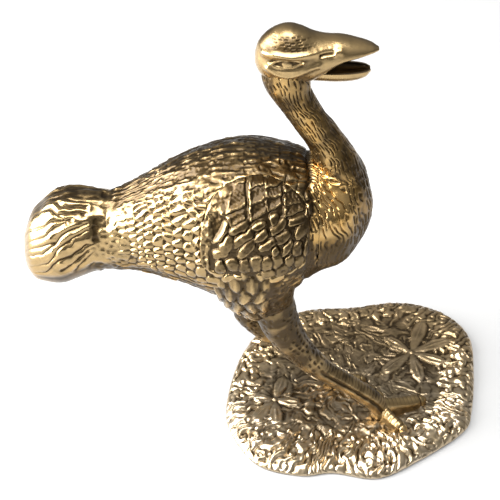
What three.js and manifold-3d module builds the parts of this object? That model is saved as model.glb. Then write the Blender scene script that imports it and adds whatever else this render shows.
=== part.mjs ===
// A cast brass ostrich standing on a thin, irregular ground plate.
//
// It is a sectional casting: hollow body halves closed round a tail, a neck and two legs, with a head, a
// lower bill and two wing plates fitted afterwards. Dowels and pins hold the castings, and one screw
// through the plate holds each foot.
//
// Millimetres, +Z up. The origin is the middle of the plate's underside. The bird looks along +X, and its
// right side faces -Y. All the bird's pieces are built about its own median plane, y = 0, inside one group.
import * as THREE from "three";
import { mergeVertices } from "three/addons/utils/BufferGeometryUtils.js";
import Module from "manifold-3d";

const wasm = await Module();
wasm.setup();

// Ground plate
const BASE_LENGTH = 76.7;
const BASE_DEPTH = 72.4;
const BASE_THICKNESS = 3.2;
const BASE_BEVEL = 0.8;

// Ground relief on the plate
const TUFT_WIDTH = 3;
const TUFT_HEIGHT = 0.9;
const RIM_TUFT_LENGTH = 9;
const RIM_MARGIN = 1.2;
const FIELD_TUFT_LENGTH = 8;
const PETAL_LENGTH = 15.5;
const PETAL_WIDTH = 3.2;
const PETAL_HEIGHT = 0.9;
const HEART_DIAMETER = 2.4;

// Where the bird stands on the plate: its median plane lies to the right of the plate's middle
const MEDIAN_TO_RIGHT = 10;
const BODY_BEHIND = 31;

// Bird, casting by casting
const LEG_HEIGHT = 41;
const HIP_SPREAD = 10;
const LEG_THICKNESS = 6;
const HEEL_DIAMETER = 5.8;
const RIGHT_HEEL_AHEAD = 6;
const LEFT_HEEL_BEHIND = 6;
const RIGHT_HEEL_OUT = 5;
const LEFT_HEEL_OUT = 7.5;
const RIGHT_HIP_BEHIND = 24.4;
const LEFT_HIP_BEHIND = 33.6;
const MAIN_TOE_LENGTH = 15.2;
const SIDE_TOE_LENGTH = 9.4;
const MAIN_TOE_WIDTH = 4.4;
const SIDE_TOE_WIDTH = 3.2;
const MAIN_TOE_HEIGHT = 3.52;
const SIDE_TOE_HEIGHT = 2.56;
const THIGH_LENGTH = 22;
const THIGH_WIDTH = 16;
const THIGH_DROP = 3.6;
const THIGH_ROOT_DEPTH = 1.8;
const BODY_LENGTH = 65;
const BODY_HEIGHT = 43;
const BODY_WIDTH = 36.8;
const BREAST_AHEAD = 16;
const TAIL_LENGTH = 22.6;
const TAIL_HEIGHT = 26.2;
const TAIL_WIDTH = 20.8;
const NECK_HEIGHT = 33;
const NECK_LEAN = 15.2;
const NECK_THICKNESS = 9.6;
const HEAD_LENGTH = 27;
const HEAD_HEIGHT = 13;
const HEAD_WIDTH = 11.2;
const LOWER_BILL_LENGTH = 10.6;
const LOWER_BILL_WIDTH = 7.2;
const LOWER_BILL_DEPTH = 3;
const MOUTH_OPENING = 1.2;
const KNUCKLE_LENGTH = 3.6;
const JAW_PIN_LENGTH = 7.8;

// Walls, fits and fasteners
const WALL = 2.4;
const TAIL_WALL = 2.6;
const BILL_WALL = 0.8;
const WING_THICKNESS = 1.5;
const WING_RAISE = 0.5;
const FIT_GAP = 0.3;
const PIN_PLAY = 0.1;
const PIN_DIAMETER = 2;
const PIN_SEAT = 2.5;
const JAW_PIN_DIAMETER = 1.2;
const KNUCKLE_DIAMETER = 3.2;
const DOWEL_LENGTH = 9;
const THIGH_PIN_LENGTH = 8;
const TENON_DIAMETER = 5;
const TENON_LENGTH = 9;
const TAIL_SPIGOT_DIAMETER = 9;
const TAIL_SPIGOT_LENGTH = 8;
const TAIL_CORE_DIAMETER = 4;
const NECK_SPIGOT_DIAMETER = 11;
const NECK_SPIGOT_LENGTH = 8;
const HEAD_STUD_DIAMETER = 2.4;
const HEAD_STUD_LENGTH = 9;
const WING_PEG_DIAMETER = 2;
const SCREW_DIAMETER = 2.5;
const SCREW_LENGTH = 6;
const SCREW_HEAD_DIAMETER = 4.6;
const SCREW_HEAD_HEIGHT = 1.5;
const SCREW_HEAD_RECESS = 0.2;

// Fineness of the facets
const BODY_SIDES = 28;
const HEAD_SIDES = 20;
const LIMB_SIDES = 14;
const PIN_SIDES = 14;
const RINGS_PER_RIB = 2;
const OUTLINE_POINTS = 46;
const RIDGE_SIDES = 6;
const RIM_TUFTS = 30;
const FIELD_TUFTS = 12;

// Larger than the whole object, for cutting half of space away
const FAR = 400;

// How far a cutter, or the root of a joined bar, runs past the face it meets
const OVERRUN = 1;

// The least half axis of a section that has been shrunk
const LEAST_HALF_AXIS = 0.05;

// Solids

// A closed three.js geometry as a solid with its faces pointing out.
function solidOf(geometry) {
  const bare = geometry.clone();
  bare.deleteAttribute("normal");
  bare.deleteAttribute("uv");
  const merged = mergeVertices(bare, 1e-4);
  const vertices = merged.attributes.position.array;
  const triangles = new Uint32Array(merged.index.array);
  if (signedVolume(vertices, triangles) < 0) triangles.reverse();
  return new wasm.Manifold(new wasm.Mesh({ numProp: 3, vertProperties: vertices, triVerts: triangles }));
}

function signedVolume(vertices, triangles) {
  const corner = (index) => new THREE.Vector3().fromArray(vertices, 3 * index);
  let sum = 0;
  for (let i = 0; i < triangles.length; i += 3) {
    const [a, b, c] = [corner(triangles[i]), corner(triangles[i + 1]), corner(triangles[i + 2])];
    sum += a.dot(b.cross(c)) / 6;
  }
  return sum;
}

function box(low, high) {
  const [from, to] = [new THREE.Vector3(...low), new THREE.Vector3(...high)];
  const size = to.clone().sub(from);
  const middle = from.clone().add(to).multiplyScalar(0.5);
  return solidOf(new THREE.BoxGeometry(size.x, size.y, size.z).translate(middle.x, middle.y, middle.z));
}

// A round bar between two points.
function bar(from, to, diameter) {
  const [start, end] = [new THREE.Vector3(...from), new THREE.Vector3(...to)];
  const axis = end.clone().sub(start);
  const geometry = new THREE.CylinderGeometry(diameter / 2, diameter / 2, axis.length(), PIN_SIDES);
  const turn = new THREE.Quaternion().setFromUnitVectors(new THREE.Vector3(0, 1, 0), axis.clone().normalize());
  const middle = start.clone().add(end).multiplyScalar(0.5);
  return solidOf(geometry.applyQuaternion(turn).translate(middle.x, middle.y, middle.z));
}

// A bar across the bird, along Y, centred on a point (x, y, z).
function crossBar([x, y, z], length, diameter) {
  return bar([x, y - length / 2, z], [x, y + length / 2, z], diameter);
}

// One elliptical section of a casting, standing across the median plane: its back (or top) point and its front
// (or bottom) point, both (x, z), and its half width along Y.
function rib([backX, backZ], [frontX, frontZ], halfWidth, y = 0) {
  return {
    centre: new THREE.Vector3((backX + frontX) / 2, y, (backZ + frontZ) / 2),
    up: new THREE.Vector3((backX - frontX) / 2, 0, (backZ - frontZ) / 2),
    side: new THREE.Vector3(0, halfWidth, 0),
  };
}

// The same sections, each grown outwards by a distance, or shrunk where it is negative.
function grown(ribs, distance) {
  const least = Math.max(distance, LEAST_HALF_AXIS);
  const longer = (axis) => axis.clone().setLength(Math.max(axis.length() + distance, least));
  return ribs.map(({ centre, up, side }) => ({ centre, up: longer(up), side: longer(side) }));
}

// Smooth curves through the sections' centres and half axes.
function ribCurves(ribs) {
  const through = (key) => new THREE.CatmullRomCurve3(ribs.map((each) => each[key]), false, "catmullrom", 0.5);
  return [through("centre"), through("up"), through("side")];
}

// A closed skin over the sections, with a flat cap at each end.
function loft(ribs, sides, ringsPerRib = RINGS_PER_RIB) {
  const curves = ribCurves(ribs);
  const rings = (ribs.length - 1) * ringsPerRib;
  const points = [];
  const triangles = [];
  for (let ring = 0; ring <= rings; ring++) {
    const [centre, up, side] = curves.map((curve) => curve.getPoint(ring / rings));
    for (let step = 0; step < sides; step++) {
      const angle = (2 * Math.PI * step) / sides;
      const point = centre.clone().addScaledVector(up, Math.cos(angle)).addScaledVector(side, Math.sin(angle));
      points.push(...point);
    }
  }
  for (let ring = 0; ring < rings; ring++) {
    for (let step = 0; step < sides; step++) {
      const next = (step + 1) % sides;
      const [a, b] = [ring * sides + step, ring * sides + next];
      triangles.push(a, b, a + sides, b, b + sides, a + sides);
    }
  }
  const firstCap = points.length / 3;
  points.push(...ribs[0].centre, ...ribs.at(-1).centre);
  for (let step = 0; step < sides; step++) {
    const next = (step + 1) % sides;
    triangles.push(firstCap, next, step, firstCap + 1, rings * sides + step, rings * sides + next);
  }
  const geometry = new THREE.BufferGeometry();
  geometry.setAttribute("position", new THREE.Float32BufferAttribute(points, 3));
  geometry.setIndex(triangles);
  return solidOf(geometry);
}

// A smooth closed curve through an outline's points.
function smoothShape(outline) {
  const curve = new THREE.CatmullRomCurve3(outline.map(([x, y]) => new THREE.Vector3(x, y, 0)), true);
  const points = curve.getPoints(OUTLINE_POINTS).slice(0, -1);
  return new THREE.Shape(points.map(({ x, y }) => new THREE.Vector2(x, y)));
}

// An outline of (x, z) points in the median plane, pushed out along Y.
function sidePrism(outline, fromY, toY) {
  const geometry = new THREE.ExtrudeGeometry(smoothShape(outline), { depth: toY - fromY, bevelEnabled: false });
  return solidOf(geometry.rotateX(Math.PI / 2).translate(0, toY, 0));
}

const beyondX = (x) => box([x, -FAR, -FAR], [FAR, FAR, FAR]);
const beyondZ = (z) => box([-FAR, -FAR, z], [FAR, FAR, FAR]);
const rightOf = (y) => box([-FAR, -FAR, -FAR], [FAR, y, FAR]);
const leftOf = (y) => box([-FAR, y, -FAR], [FAR, FAR, FAR]);

// Levels and places that several castings share

const baseTop = BASE_THICKNESS;
const legTop = baseTop + LEG_HEIGHT;
const bodyCentreZ = legTop + THIGH_DROP + BODY_HEIGHT / 2;

// Trunk sections: place along the body from its middle, top, bottom and half width, as shares of its sizes.
const TRUNK = [
  [-0.54, 0.16, -0.322, 0.24],
  [-0.43, 0.238, -0.325, 0.288],
  [-0.27, 0.38, -0.388, 0.389],
  [-0.12, 0.467, -0.472, 0.478],
  [0, 0.488, -0.498, 0.5],
  [0.114, 0.465, -0.468, 0.473],
  [0.19, 0.434, -0.404, 0.424],
  [0.266, 0.4, -0.308, 0.359],
  [0.338, 0.353, -0.24, 0.293],
  [0.4, 0.284, -0.158, 0.217],
  [0.443, 0.214, -0.065, 0.136],
  [0.465, 0.144, 0.04, 0.054],
];
const trunkX = (share) => share * BODY_LENGTH - BODY_BEHIND;
const trunkZ = (share) => bodyCentreZ + share * BODY_HEIGHT;
const trunkRibs = TRUNK.map(([along, top, bottom, half]) =>
  rib([trunkX(along), trunkZ(top)], [trunkX(along), trunkZ(bottom)], half * BODY_WIDTH),
);
const trunk = loft(trunkRibs, BODY_SIDES);

// The trunk's section at one x: the height of its centre, its half height and its half width.
function trunkSection(x) {
  const [centres, ups, sides] = ribCurves(trunkRibs);
  let [low, high] = [0, 1];
  while (high - low > 1e-4) {
    const middle = (low + high) / 2;
    if (centres.getPoint(middle).x < x) low = middle;
    else high = middle;
  }
  return { z: centres.getPoint(low).z, tall: ups.getPoint(low).length(), wide: sides.getPoint(low).length() };
}

// How far the trunk's skin lies from the median plane at (x, z).
function trunkHalfWidth(x, z) {
  const section = trunkSection(x);
  const height = (z - section.z) / section.tall;
  return section.wide * Math.sqrt(Math.max(0, 1 - height * height));
}

// The body's rear face carries the tail, and its front face carries the neck with the breast.
const rearX = trunkX(TRUNK[0][0]);
const frontX = trunkX(0) + BREAST_AHEAD;
const rearZ = trunkSection(rearX).z;
const frontZ = trunkSection(frontX).z;
const rearBoss = TAIL_SPIGOT_LENGTH + FIT_GAP + WALL;
const frontBoss = NECK_SPIGOT_LENGTH + FIT_GAP + WALL;

// Legs: the path of each from above its thigh down to the foot, as shares of the way from heel to hip and
// of the leg's height, with its thickness there. The right leg reaches forward and the left leg trails.
const legs = {
  right: {
    hip: [-RIGHT_HIP_BEHIND, -HIP_SPREAD / 2],
    heel: [RIGHT_HEEL_AHEAD, -RIGHT_HEEL_OUT],
    mainToeTurn: 22,
    sideToeTurn: -45,
    path: [
      [1.04, 1.12, 1.52],
      [0.99, 0.97, 1.48],
      [0.9, 0.8, 1.26],
      [0.786, 0.645, 1.16],
      [0.585, 0.46, 1],
      [0.339, 0.314, 0.93],
      [0.102, 0.168, 0.93],
      [0, 0.07, 0.9],
    ],
  },
  left: {
    hip: [-LEFT_HIP_BEHIND, HIP_SPREAD / 2],
    heel: [-LEFT_HEEL_BEHIND, LEFT_HEEL_OUT],
    mainToeTurn: -24,
    sideToeTurn: 2,
    path: [
      [1.02, 1.12, 1.46],
      [0.99, 0.97, 1.4],
      [0.95, 0.82, 1.22],
      [0.893, 0.68, 1.14],
      [0.645, 0.49, 1],
      [0.37, 0.3, 0.93],
      [0.12, 0.15, 0.93],
      [0, 0.07, 0.9],
    ],
  },
};

// Pins and dowels, each lying across the bird, with the bores that hold them
const rearDowelX = rearX + rearBoss / 2;
const rearDowelSection = trunkSection(rearDowelX);
const rearFloor = rearDowelSection.z - rearDowelSection.tall;
const frontDowelX = frontX - frontBoss / 2;
const frontDowelSection = trunkSection(frontDowelX);
const frontRoof = frontDowelSection.z + frontDowelSection.tall;
const crossPins = {
  tail_pin: {
    at: [rearX + TAIL_SPIGOT_LENGTH / 2, 0, rearZ],
    length: TAIL_SPIGOT_DIAMETER + 2 * PIN_SEAT,
  },
  neck_pin: {
    at: [frontX - NECK_SPIGOT_LENGTH / 2, 0, frontZ],
    length: NECK_SPIGOT_DIAMETER + 2 * PIN_SEAT,
  },
  rear_body_dowel: {
    at: [rearDowelX, 0, (rearZ - TAIL_SPIGOT_DIAMETER / 2 + rearFloor) / 2],
    length: DOWEL_LENGTH,
  },
  front_body_dowel: {
    at: [frontDowelX, 0, (frontZ + NECK_SPIGOT_DIAMETER / 2 + frontRoof) / 2],
    length: DOWEL_LENGTH,
  },
};
for (const [side, leg] of Object.entries(legs)) {
  crossPins[side + "_thigh_pin"] = {
    at: [...leg.hip, legTop + TENON_LENGTH / 2],
    length: THIGH_PIN_LENGTH,
  };
}
const pinBar = ({ at, length }) => crossBar(at, length, PIN_DIAMETER);
const pinBore = ({ at, length }) => crossBar(at, length + 2 * FIT_GAP, PIN_DIAMETER + 2 * PIN_PLAY);

// Pieces

const group = new THREE.Group();
const bird = new THREE.Group();
bird.position.y = -MEDIAN_TO_RIGHT;
group.add(bird);

const brass = () => new THREE.MeshStandardMaterial({ color: 0xb08d4a, roughness: 0.32, metalness: 1 });
const steel = () => new THREE.MeshStandardMaterial({ color: 0x9a9a98, roughness: 0.35, metalness: 1 });

function addPiece(parent, name, solid, material) {
  const { numProp, vertProperties, triVerts } = solid.getMesh();
  const points = vertProperties.filter((_, index) => index % numProp < 3);
  const geometry = new THREE.BufferGeometry();
  geometry.setAttribute("position", new THREE.BufferAttribute(points, 3));
  geometry.setIndex(new THREE.BufferAttribute(triVerts, 1));
  geometry.computeVertexNormals();
  const mesh = new THREE.Mesh(geometry, material);
  mesh.name = name;
  parent.add(mesh);
}

// Ground plate: an irregular rounded outline, as shares of its length and depth, and two counterbored holes.
const BASE_OUTLINE = [
  [-0.19, 0.43],
  [0.02, 0.455],
  [0.24, 0.49],
  [0.41, 0.42],
  [0.495, 0.27],
  [0.48, 0.06],
  [0.435, -0.165],
  [0.385, -0.275],
  [0.21, -0.412],
  [0.05, -0.5],
  [-0.11, -0.475],
  [-0.23, -0.487],
  [-0.38, -0.436],
  [-0.475, -0.28],
  [-0.495, -0.13],
  [-0.45, 0.12],
  [-0.36, 0.3],
];
const baseOutline = BASE_OUTLINE.map(([x, y]) => [x * BASE_LENGTH, y * BASE_DEPTH]);
const screwSeat = SCREW_HEAD_HEIGHT + SCREW_HEAD_RECESS;
const screwTip = screwSeat + SCREW_LENGTH;

// A low ridge on the plate between two points (x, y), widest and highest past its middle.
function ridge(from, to, width, height) {
  const [start, end] = [new THREE.Vector3(...from, baseTop), new THREE.Vector3(...to, baseTop)];
  const along = end.clone().sub(start).normalize();
  const sections = [
    [0, 0.35, 0.3],
    [0.3, 0.9, 0.9],
    [0.7, 1, 1],
    [1, 0.3, 0.3],
  ];
  const ribs = sections.map(([share, wide, tall]) => ({
    centre: start.clone().lerp(end, share),
    up: new THREE.Vector3(0, 0, tall * height),
    side: new THREE.Vector3(-along.y, along.x, 0).multiplyScalar((wide * width) / 2),
  }));
  return loft(ribs, RIDGE_SIDES, 1);
}

// Tufts of grass that run out to the rim, and others that lie askew further in. Sines scatter them.
function tufts() {
  const rim = new THREE.CatmullRomCurve3(baseOutline.map(([x, y]) => new THREE.Vector3(x, y, 0)), true);
  const made = [];
  for (let step = 0; step < RIM_TUFTS; step++) {
    const edge = rim.getPointAt((step + 0.5 + 0.3 * Math.sin(2.4 * step)) / RIM_TUFTS);
    const inwards = edge.clone().normalize().negate();
    const tip = edge.clone().addScaledVector(inwards, RIM_MARGIN);
    const root = tip.clone().addScaledVector(inwards, RIM_TUFT_LENGTH * (1 + 0.25 * Math.sin(1.7 * step)));
    made.push(ridge([root.x, root.y], [tip.x, tip.y], TUFT_WIDTH, TUFT_HEIGHT));
  }
  for (let step = 0; step < FIELD_TUFTS; step++) {
    const middle = rim.getPointAt((step + 0.5) / FIELD_TUFTS).multiplyScalar(0.52 + 0.1 * Math.sin(2.1 * step));
    const lean = new THREE.Vector3(FIELD_TUFT_LENGTH / 2, 0, 0);
    lean.applyAxisAngle(new THREE.Vector3(0, 0, 1), 0.9 * Math.sin(1.3 * step) - 0.9);
    const [root, tip] = [middle.clone().add(lean), middle.clone().sub(lean)];
    made.push(ridge([root.x, root.y], [tip.x, tip.y], TUFT_WIDTH, TUFT_HEIGHT));
  }
  return made;
}

// Two blooms on the ground: the heart's place as shares of the plate, and each petal's turn and share of its length.
const BLOOMS = [
  {
    heart: [-0.311, -0.13],
    petals: [[72, 0.62], [-10, 0.49], [-88, 0.62], [-128, 0.68], [173, 0.41]],
  },
  {
    heart: [0.24, 0.142],
    petals: [[137, 0.63], [69, 1], [24, 0.9], [-24, 0.71], [-84, 0.77], [-138, 0.84]],
  },
];

function bloom({ heart, petals }) {
  const [x, y] = [heart[0] * BASE_LENGTH, heart[1] * BASE_DEPTH];
  const made = petals.map(([turn, share]) => {
    const angle = THREE.MathUtils.degToRad(turn);
    const length = share * PETAL_LENGTH;
    const tip = [x + length * Math.cos(angle), y + length * Math.sin(angle)];
    return ridge([x, y], tip, PETAL_WIDTH, PETAL_HEIGHT);
  });
  return [...made, bar([x, y, baseTop - OVERRUN], [x, y, baseTop + PETAL_HEIGHT], HEART_DIAMETER)];
}

function groundPlate() {
  const geometry = new THREE.ExtrudeGeometry(smoothShape(baseOutline), {
    depth: BASE_THICKNESS - 2 * BASE_BEVEL,
    bevelThickness: BASE_BEVEL,
    bevelSize: BASE_BEVEL,
    bevelOffset: -BASE_BEVEL,
    bevelSegments: 1,
  });
  const reliefs = [...tufts(), ...BLOOMS.flatMap(bloom)];
  let relief = reliefs.reduce((made, each) => made.add(each));
  let plate = solidOf(geometry.translate(0, 0, BASE_BEVEL));
  const spots = Object.values(legs).map((leg) => ({ ...leg, heel: [leg.heel[0], leg.heel[1] - MEDIAN_TO_RIGHT] }));
  for (const spot of spots) relief = relief.subtract(foot(spot, FIT_GAP));
  plate = plate.add(relief);
  for (const { heel: spot } of spots) {
    plate = plate
      .subtract(bar([...spot, -OVERRUN], [...spot, baseTop + OVERRUN], SCREW_DIAMETER + 2 * PIN_PLAY))
      .subtract(bar([...spot, -OVERRUN], [...spot, screwSeat], SCREW_HEAD_DIAMETER + 2 * PIN_PLAY));
  }
  return plate;
}

// A pan-head screw that pulls a foot down on the plate.
function footScrew({ heel }) {
  const head = bar([...heel, SCREW_HEAD_RECESS], [...heel, screwSeat], SCREW_HEAD_DIAMETER);
  return head.add(bar([...heel, screwSeat - SCREW_HEAD_RECESS], [...heel, screwTip], SCREW_DIAMETER));
}

// Sections square to a limb's path of (x, y, z, thickness) places.
function limbRibs(path) {
  const spine = new THREE.CatmullRomCurve3(path.map(([x, y, z]) => new THREE.Vector3(x, y, z)));
  return path.map(([x, y, z, thickness], index) => {
    const along = spine.getTangent(index / (path.length - 1));
    const [acrossX, acrossZ] = [(-along.z * thickness) / 2, (along.x * thickness) / 2];
    return rib([x + acrossX, z + acrossZ], [x - acrossX, z - acrossZ], thickness / 2, y);
  });
}

// A toe that lies on the plate, thick at the heel and thin at its nail, turned from the way the bird looks.
function toe([heelX, heelY], length, width, height, turn) {
  const angle = THREE.MathUtils.degToRad(turn);
  const [forward, sideways] = [Math.cos(angle), Math.sin(angle)];
  const sections = [
    [-0.05, 1, 1.3],
    [0.35, 0.95, 1],
    [0.7, 0.92, 0.8],
    [0.92, 0.62, 0.5],
    [1, 0.24, 0.25],
  ];
  const ribs = sections.map(([along, half, tall]) => ({
    centre: new THREE.Vector3(heelX + along * length * forward, heelY + along * length * sideways, baseTop),
    up: new THREE.Vector3(0, 0, tall * height),
    side: new THREE.Vector3(-sideways, forward, 0).multiplyScalar((half * width) / 2),
  }));
  return loft(ribs, LIMB_SIDES);
}

// The round heel over the screw.
function heelBall([x, y], diameter) {
  const ball = new THREE.SphereGeometry(diameter / 2, LIMB_SIDES, LIMB_SIDES / 2);
  return solidOf(ball.translate(x, y, baseTop + HEEL_DIAMETER / 4));
}

// A whole foot, grown outwards by some room where it is to be cut out of what it stands in.
function foot({ heel, mainToeTurn, sideToeTurn }, room) {
  const grow = 2 * room;
  const main = [MAIN_TOE_LENGTH + grow, MAIN_TOE_WIDTH + grow, MAIN_TOE_HEIGHT + grow];
  const side = [SIDE_TOE_LENGTH + grow, SIDE_TOE_WIDTH + grow, SIDE_TOE_HEIGHT + grow];
  return heelBall(heel, HEEL_DIAMETER + grow)
    .add(toe(heel, ...main, mainToeTurn))
    .add(toe(heel, ...side, sideToeTurn));
}

function legCasting(side) {
  const { hip, heel, path } = legs[side];
  const between = (axis, share) => THREE.MathUtils.lerp(heel[axis], hip[axis], share);
  const places = path.map(([along, up, thickness]) => [
    between(0, along),
    between(1, THREE.MathUtils.clamp(up, 0, 1)),
    baseTop + up * LEG_HEIGHT,
    thickness * LEG_THICKNESS,
  ]);
  return loft(limbRibs(places), LIMB_SIDES)
    .subtract(beyondZ(legTop))
    .add(foot(legs[side], 0))
    .intersect(beyondZ(baseTop))
    .add(bar([...hip, legTop - OVERRUN], [...hip, legTop + TENON_LENGTH], TENON_DIAMETER))
    .subtract(pinBore(crossPins[side + "_thigh_pin"]))
    .subtract(bar([...heel, 0], [...heel, screwTip + FIT_GAP], SCREW_DIAMETER + 2 * PIN_PLAY));
}

// Thigh: level sections from inside the trunk, under the wing, to just above the leg's shoulder. They bulge out
// from the body's side: the last share is how far each lies outside the hip.
function thigh([hipX, hipY]) {
  const bottom = legTop + FIT_GAP;
  const top = bodyCentreZ - THIGH_ROOT_DEPTH;
  const sections = [
    [1, -0.718, 0.173, 0.344, 0.406],
    [0.87, -0.768, 0.218, 0.444, 0.381],
    [0.63, -0.764, 0.232, 0.5, 0.312],
    [0.37, -0.673, 0.209, 0.475, 0.2],
    [0.15, -0.573, 0.232, 0.388, 0.075],
    [0, -0.473, 0.245, 0.331, 0],
  ];
  const ribs = sections.map(([up, back, front, half, out]) => {
    const z = bottom + up * (top - bottom);
    const y = hipY + Math.sign(hipY) * out * THIGH_WIDTH;
    return rib([hipX + back * THIGH_LENGTH, z], [hipX + front * THIGH_LENGTH, z], half * THIGH_WIDTH, y);
  });
  return loft(ribs, LIMB_SIDES);
}

// Wing: its outline on the body's side, as shares of the body's length and height, and the two pegs behind it.
const WING_OUTLINE = [
  [-0.125, 0.365],
  [-0.177, 0.22],
  [-0.19, 0.08],
  [-0.175, -0.03],
  [-0.12, -0.075],
  [-0.02, -0.09],
  [0.09, -0.1],
  [0.17, -0.07],
  [0.208, 0.03],
  [0.214, 0.16],
  [0.195, 0.31],
  [0.1, 0.412],
  [-0.015, 0.432],
];
const WING_PEGS = [
  [-0.09, 0.08],
  [0.1, 0.06],
];
const WING_MIDDLE = [0.015, 0.16];
const wingMiddle = [trunkX(WING_MIDDLE[0]), trunkZ(WING_MIDDLE[1])];
const wingOutline = WING_OUTLINE.map(([along, up]) => [trunkX(along), trunkZ(up)]);
const wingHole = wingOutline.map(([x, z]) => {
  const out = new THREE.Vector2(x - wingMiddle[0], z - wingMiddle[1]);
  out.setLength(out.length() + FIT_GAP);
  return [wingMiddle[0] + out.x, wingMiddle[1] + out.y];
});
const wingOuter = loft(grown(trunkRibs, WING_RAISE), BODY_SIDES);
const wingInner = loft(grown(trunkRibs, WING_RAISE - WING_THICKNESS), BODY_SIDES);
const wingSeat = loft(grown(trunkRibs, WING_RAISE - WING_THICKNESS - FIT_GAP), BODY_SIDES);

// One side's reach along Y, from near the median plane to outside the body.
const sideReach = (sign) => (sign < 0 ? [-BODY_WIDTH, -WALL] : [WALL, BODY_WIDTH]);

function wingPegs(sign, play) {
  return WING_PEGS.map(([along, up]) => {
    const [x, z] = [trunkX(along), trunkZ(up)];
    const skin = trunkHalfWidth(x, z) + WING_RAISE;
    const [outer, inner] = [skin - WING_THICKNESS / 2, skin - WING_RAISE - WALL - play];
    return bar([x, sign * outer, z], [x, sign * inner, z], WING_PEG_DIAMETER + 2 * play);
  });
}

function wing(sign) {
  const plate = sidePrism(wingOutline, ...sideReach(sign)).intersect(wingOuter).subtract(wingInner);
  return wingPegs(sign, 0).reduce((made, peg) => made.add(peg), plate);
}

// Both body halves in one: the trunk up to its front face, with thighs, cavity, bores and wing seats.
function bodyCasting() {
  let body = trunk.subtract(beyondX(frontX));
  let cavity = loft(grown(trunkRibs, -WALL), LIMB_SIDES)
    .intersect(beyondX(rearX + rearBoss))
    .subtract(beyondX(frontX - frontBoss));
  const socketTop = legTop + TENON_LENGTH + FIT_GAP;
  const socketBore = TENON_DIAMETER + 2 * FIT_GAP;
  for (const { hip } of Object.values(legs)) {
    const half = hip[1] < 0 ? rightOf(0) : leftOf(0);
    const socketWall = bar([...hip, baseTop], [...hip, socketTop + WALL], socketBore + 2 * WALL);
    body = body.add(thigh(hip).intersect(half));
    cavity = cavity.subtract(socketWall.intersect(half));
  }
  body = body.subtract(cavity);
  for (const { hip } of Object.values(legs)) {
    body = body.subtract(bar([...hip, baseTop], [...hip, socketTop], socketBore));
  }
  for (const sign of [-1, 1]) {
    body = body.subtract(sidePrism(wingHole, ...sideReach(sign)).subtract(wingSeat));
    body = wingPegs(sign, PIN_PLAY).reduce((made, bore) => made.subtract(bore), body);
  }
  const tailBoreEnd = rearX + TAIL_SPIGOT_LENGTH + FIT_GAP;
  const neckBoreEnd = frontX - NECK_SPIGOT_LENGTH - FIT_GAP;
  const tailBore = TAIL_SPIGOT_DIAMETER + 2 * FIT_GAP;
  const neckBore = NECK_SPIGOT_DIAMETER + 2 * FIT_GAP;
  body = body
    .subtract(bar([rearX - OVERRUN, 0, rearZ], [tailBoreEnd, 0, rearZ], tailBore))
    .subtract(bar([frontX + OVERRUN, 0, frontZ], [neckBoreEnd, 0, frontZ], neckBore));
  return Object.values(crossPins).reduce((made, pin) => made.subtract(pinBore(pin)), body);
}

// Tail plume: sections behind the body's rear face, as shares of the tail's sizes, and the spigot in the body.
const TAIL = [
  [0, 0.424, -0.412, 0.423],
  [0.18, 0.443, -0.44, 0.442],
  [0.41, 0.447, -0.52, 0.486],
  [0.53, 0.43, -0.568, 0.5],
  [0.64, 0.39, -0.583, 0.49],
  [0.76, 0.305, -0.576, 0.452],
  [0.88, 0.2, -0.55, 0.389],
  [0.97, 0.01, -0.466, 0.24],
  [1, -0.12, -0.33, 0.1],
];

// The plume is cast hollow round a core whose print leaves a bore along the spigot.
function tailPlume() {
  const face = rearX - FIT_GAP;
  const ribs = TAIL.map(([along, top, bottom, half]) => {
    const x = face - along * TAIL_LENGTH;
    return rib([x, rearZ + top * TAIL_HEIGHT], [x, rearZ + bottom * TAIL_HEIGHT], half * TAIL_WIDTH);
  });
  const spigotEnd = rearX + TAIL_SPIGOT_LENGTH;
  const core = loft(grown(ribs, -TAIL_WALL), LIMB_SIDES)
    .subtract(beyondX(face - TAIL_WALL))
    .intersect(beyondX(face - TAIL_LENGTH + TAIL_WALL))
    .add(bar([face - 2 * TAIL_WALL, 0, rearZ], [spigotEnd + OVERRUN, 0, rearZ], TAIL_CORE_DIAMETER));
  return loft(ribs, BODY_SIDES)
    .add(bar([face - OVERRUN, 0, rearZ], [spigotEnd, 0, rearZ], TAIL_SPIGOT_DIAMETER))
    .subtract(core)
    .subtract(pinBore(crossPins.tail_pin));
}

// Neck: level sections from inside the breast to inside the skull, with height, lean back, thickness and width.
const NECK = [
  [-0.09, -0.06, 1.27, 1.67],
  [0.09, 0.023, 1.29, 1.5],
  [0.242, 0.135, 1.19, 1.29],
  [0.364, 0.27, 1.05, 1.1],
  [0.485, 0.452, 1.02, 1.02],
  [0.645, 0.69, 0.98, 0.98],
  [0.803, 0.907, 1.07, 1],
  [0.909, 0.97, 1.15, 1.02],
  [1, 1, 1.02, 1],
];
const NECK_ROOT = [0.35, 0.225];
const neckRootX = trunkX(NECK_ROOT[0]);
const neckRootZ = trunkZ(NECK_ROOT[1]);
const neckTopX = neckRootX - NECK_LEAN;
const neckTopZ = neckRootZ + NECK_HEIGHT;
const neckRibs = NECK.map(([up, lean, thickness, width]) => {
  const x = neckRootX - lean * NECK_LEAN;
  const z = neckRootZ + up * NECK_HEIGHT;
  const half = (thickness * NECK_THICKNESS) / 2;
  return rib([x - half, z], [x + half, z], (width * NECK_THICKNESS) / 2);
});

// A stud stands half in the neck's top and half in the head.
function uprightAtNeckTop(length, diameter) {
  return bar([neckTopX, 0, neckTopZ - length / 2], [neckTopX, 0, neckTopZ + length / 2], diameter);
}
const headStud = () => uprightAtNeckTop(HEAD_STUD_LENGTH, HEAD_STUD_DIAMETER);
const studBore = () => uprightAtNeckTop(HEAD_STUD_LENGTH + 2 * FIT_GAP, HEAD_STUD_DIAMETER + 2 * PIN_PLAY);

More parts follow.
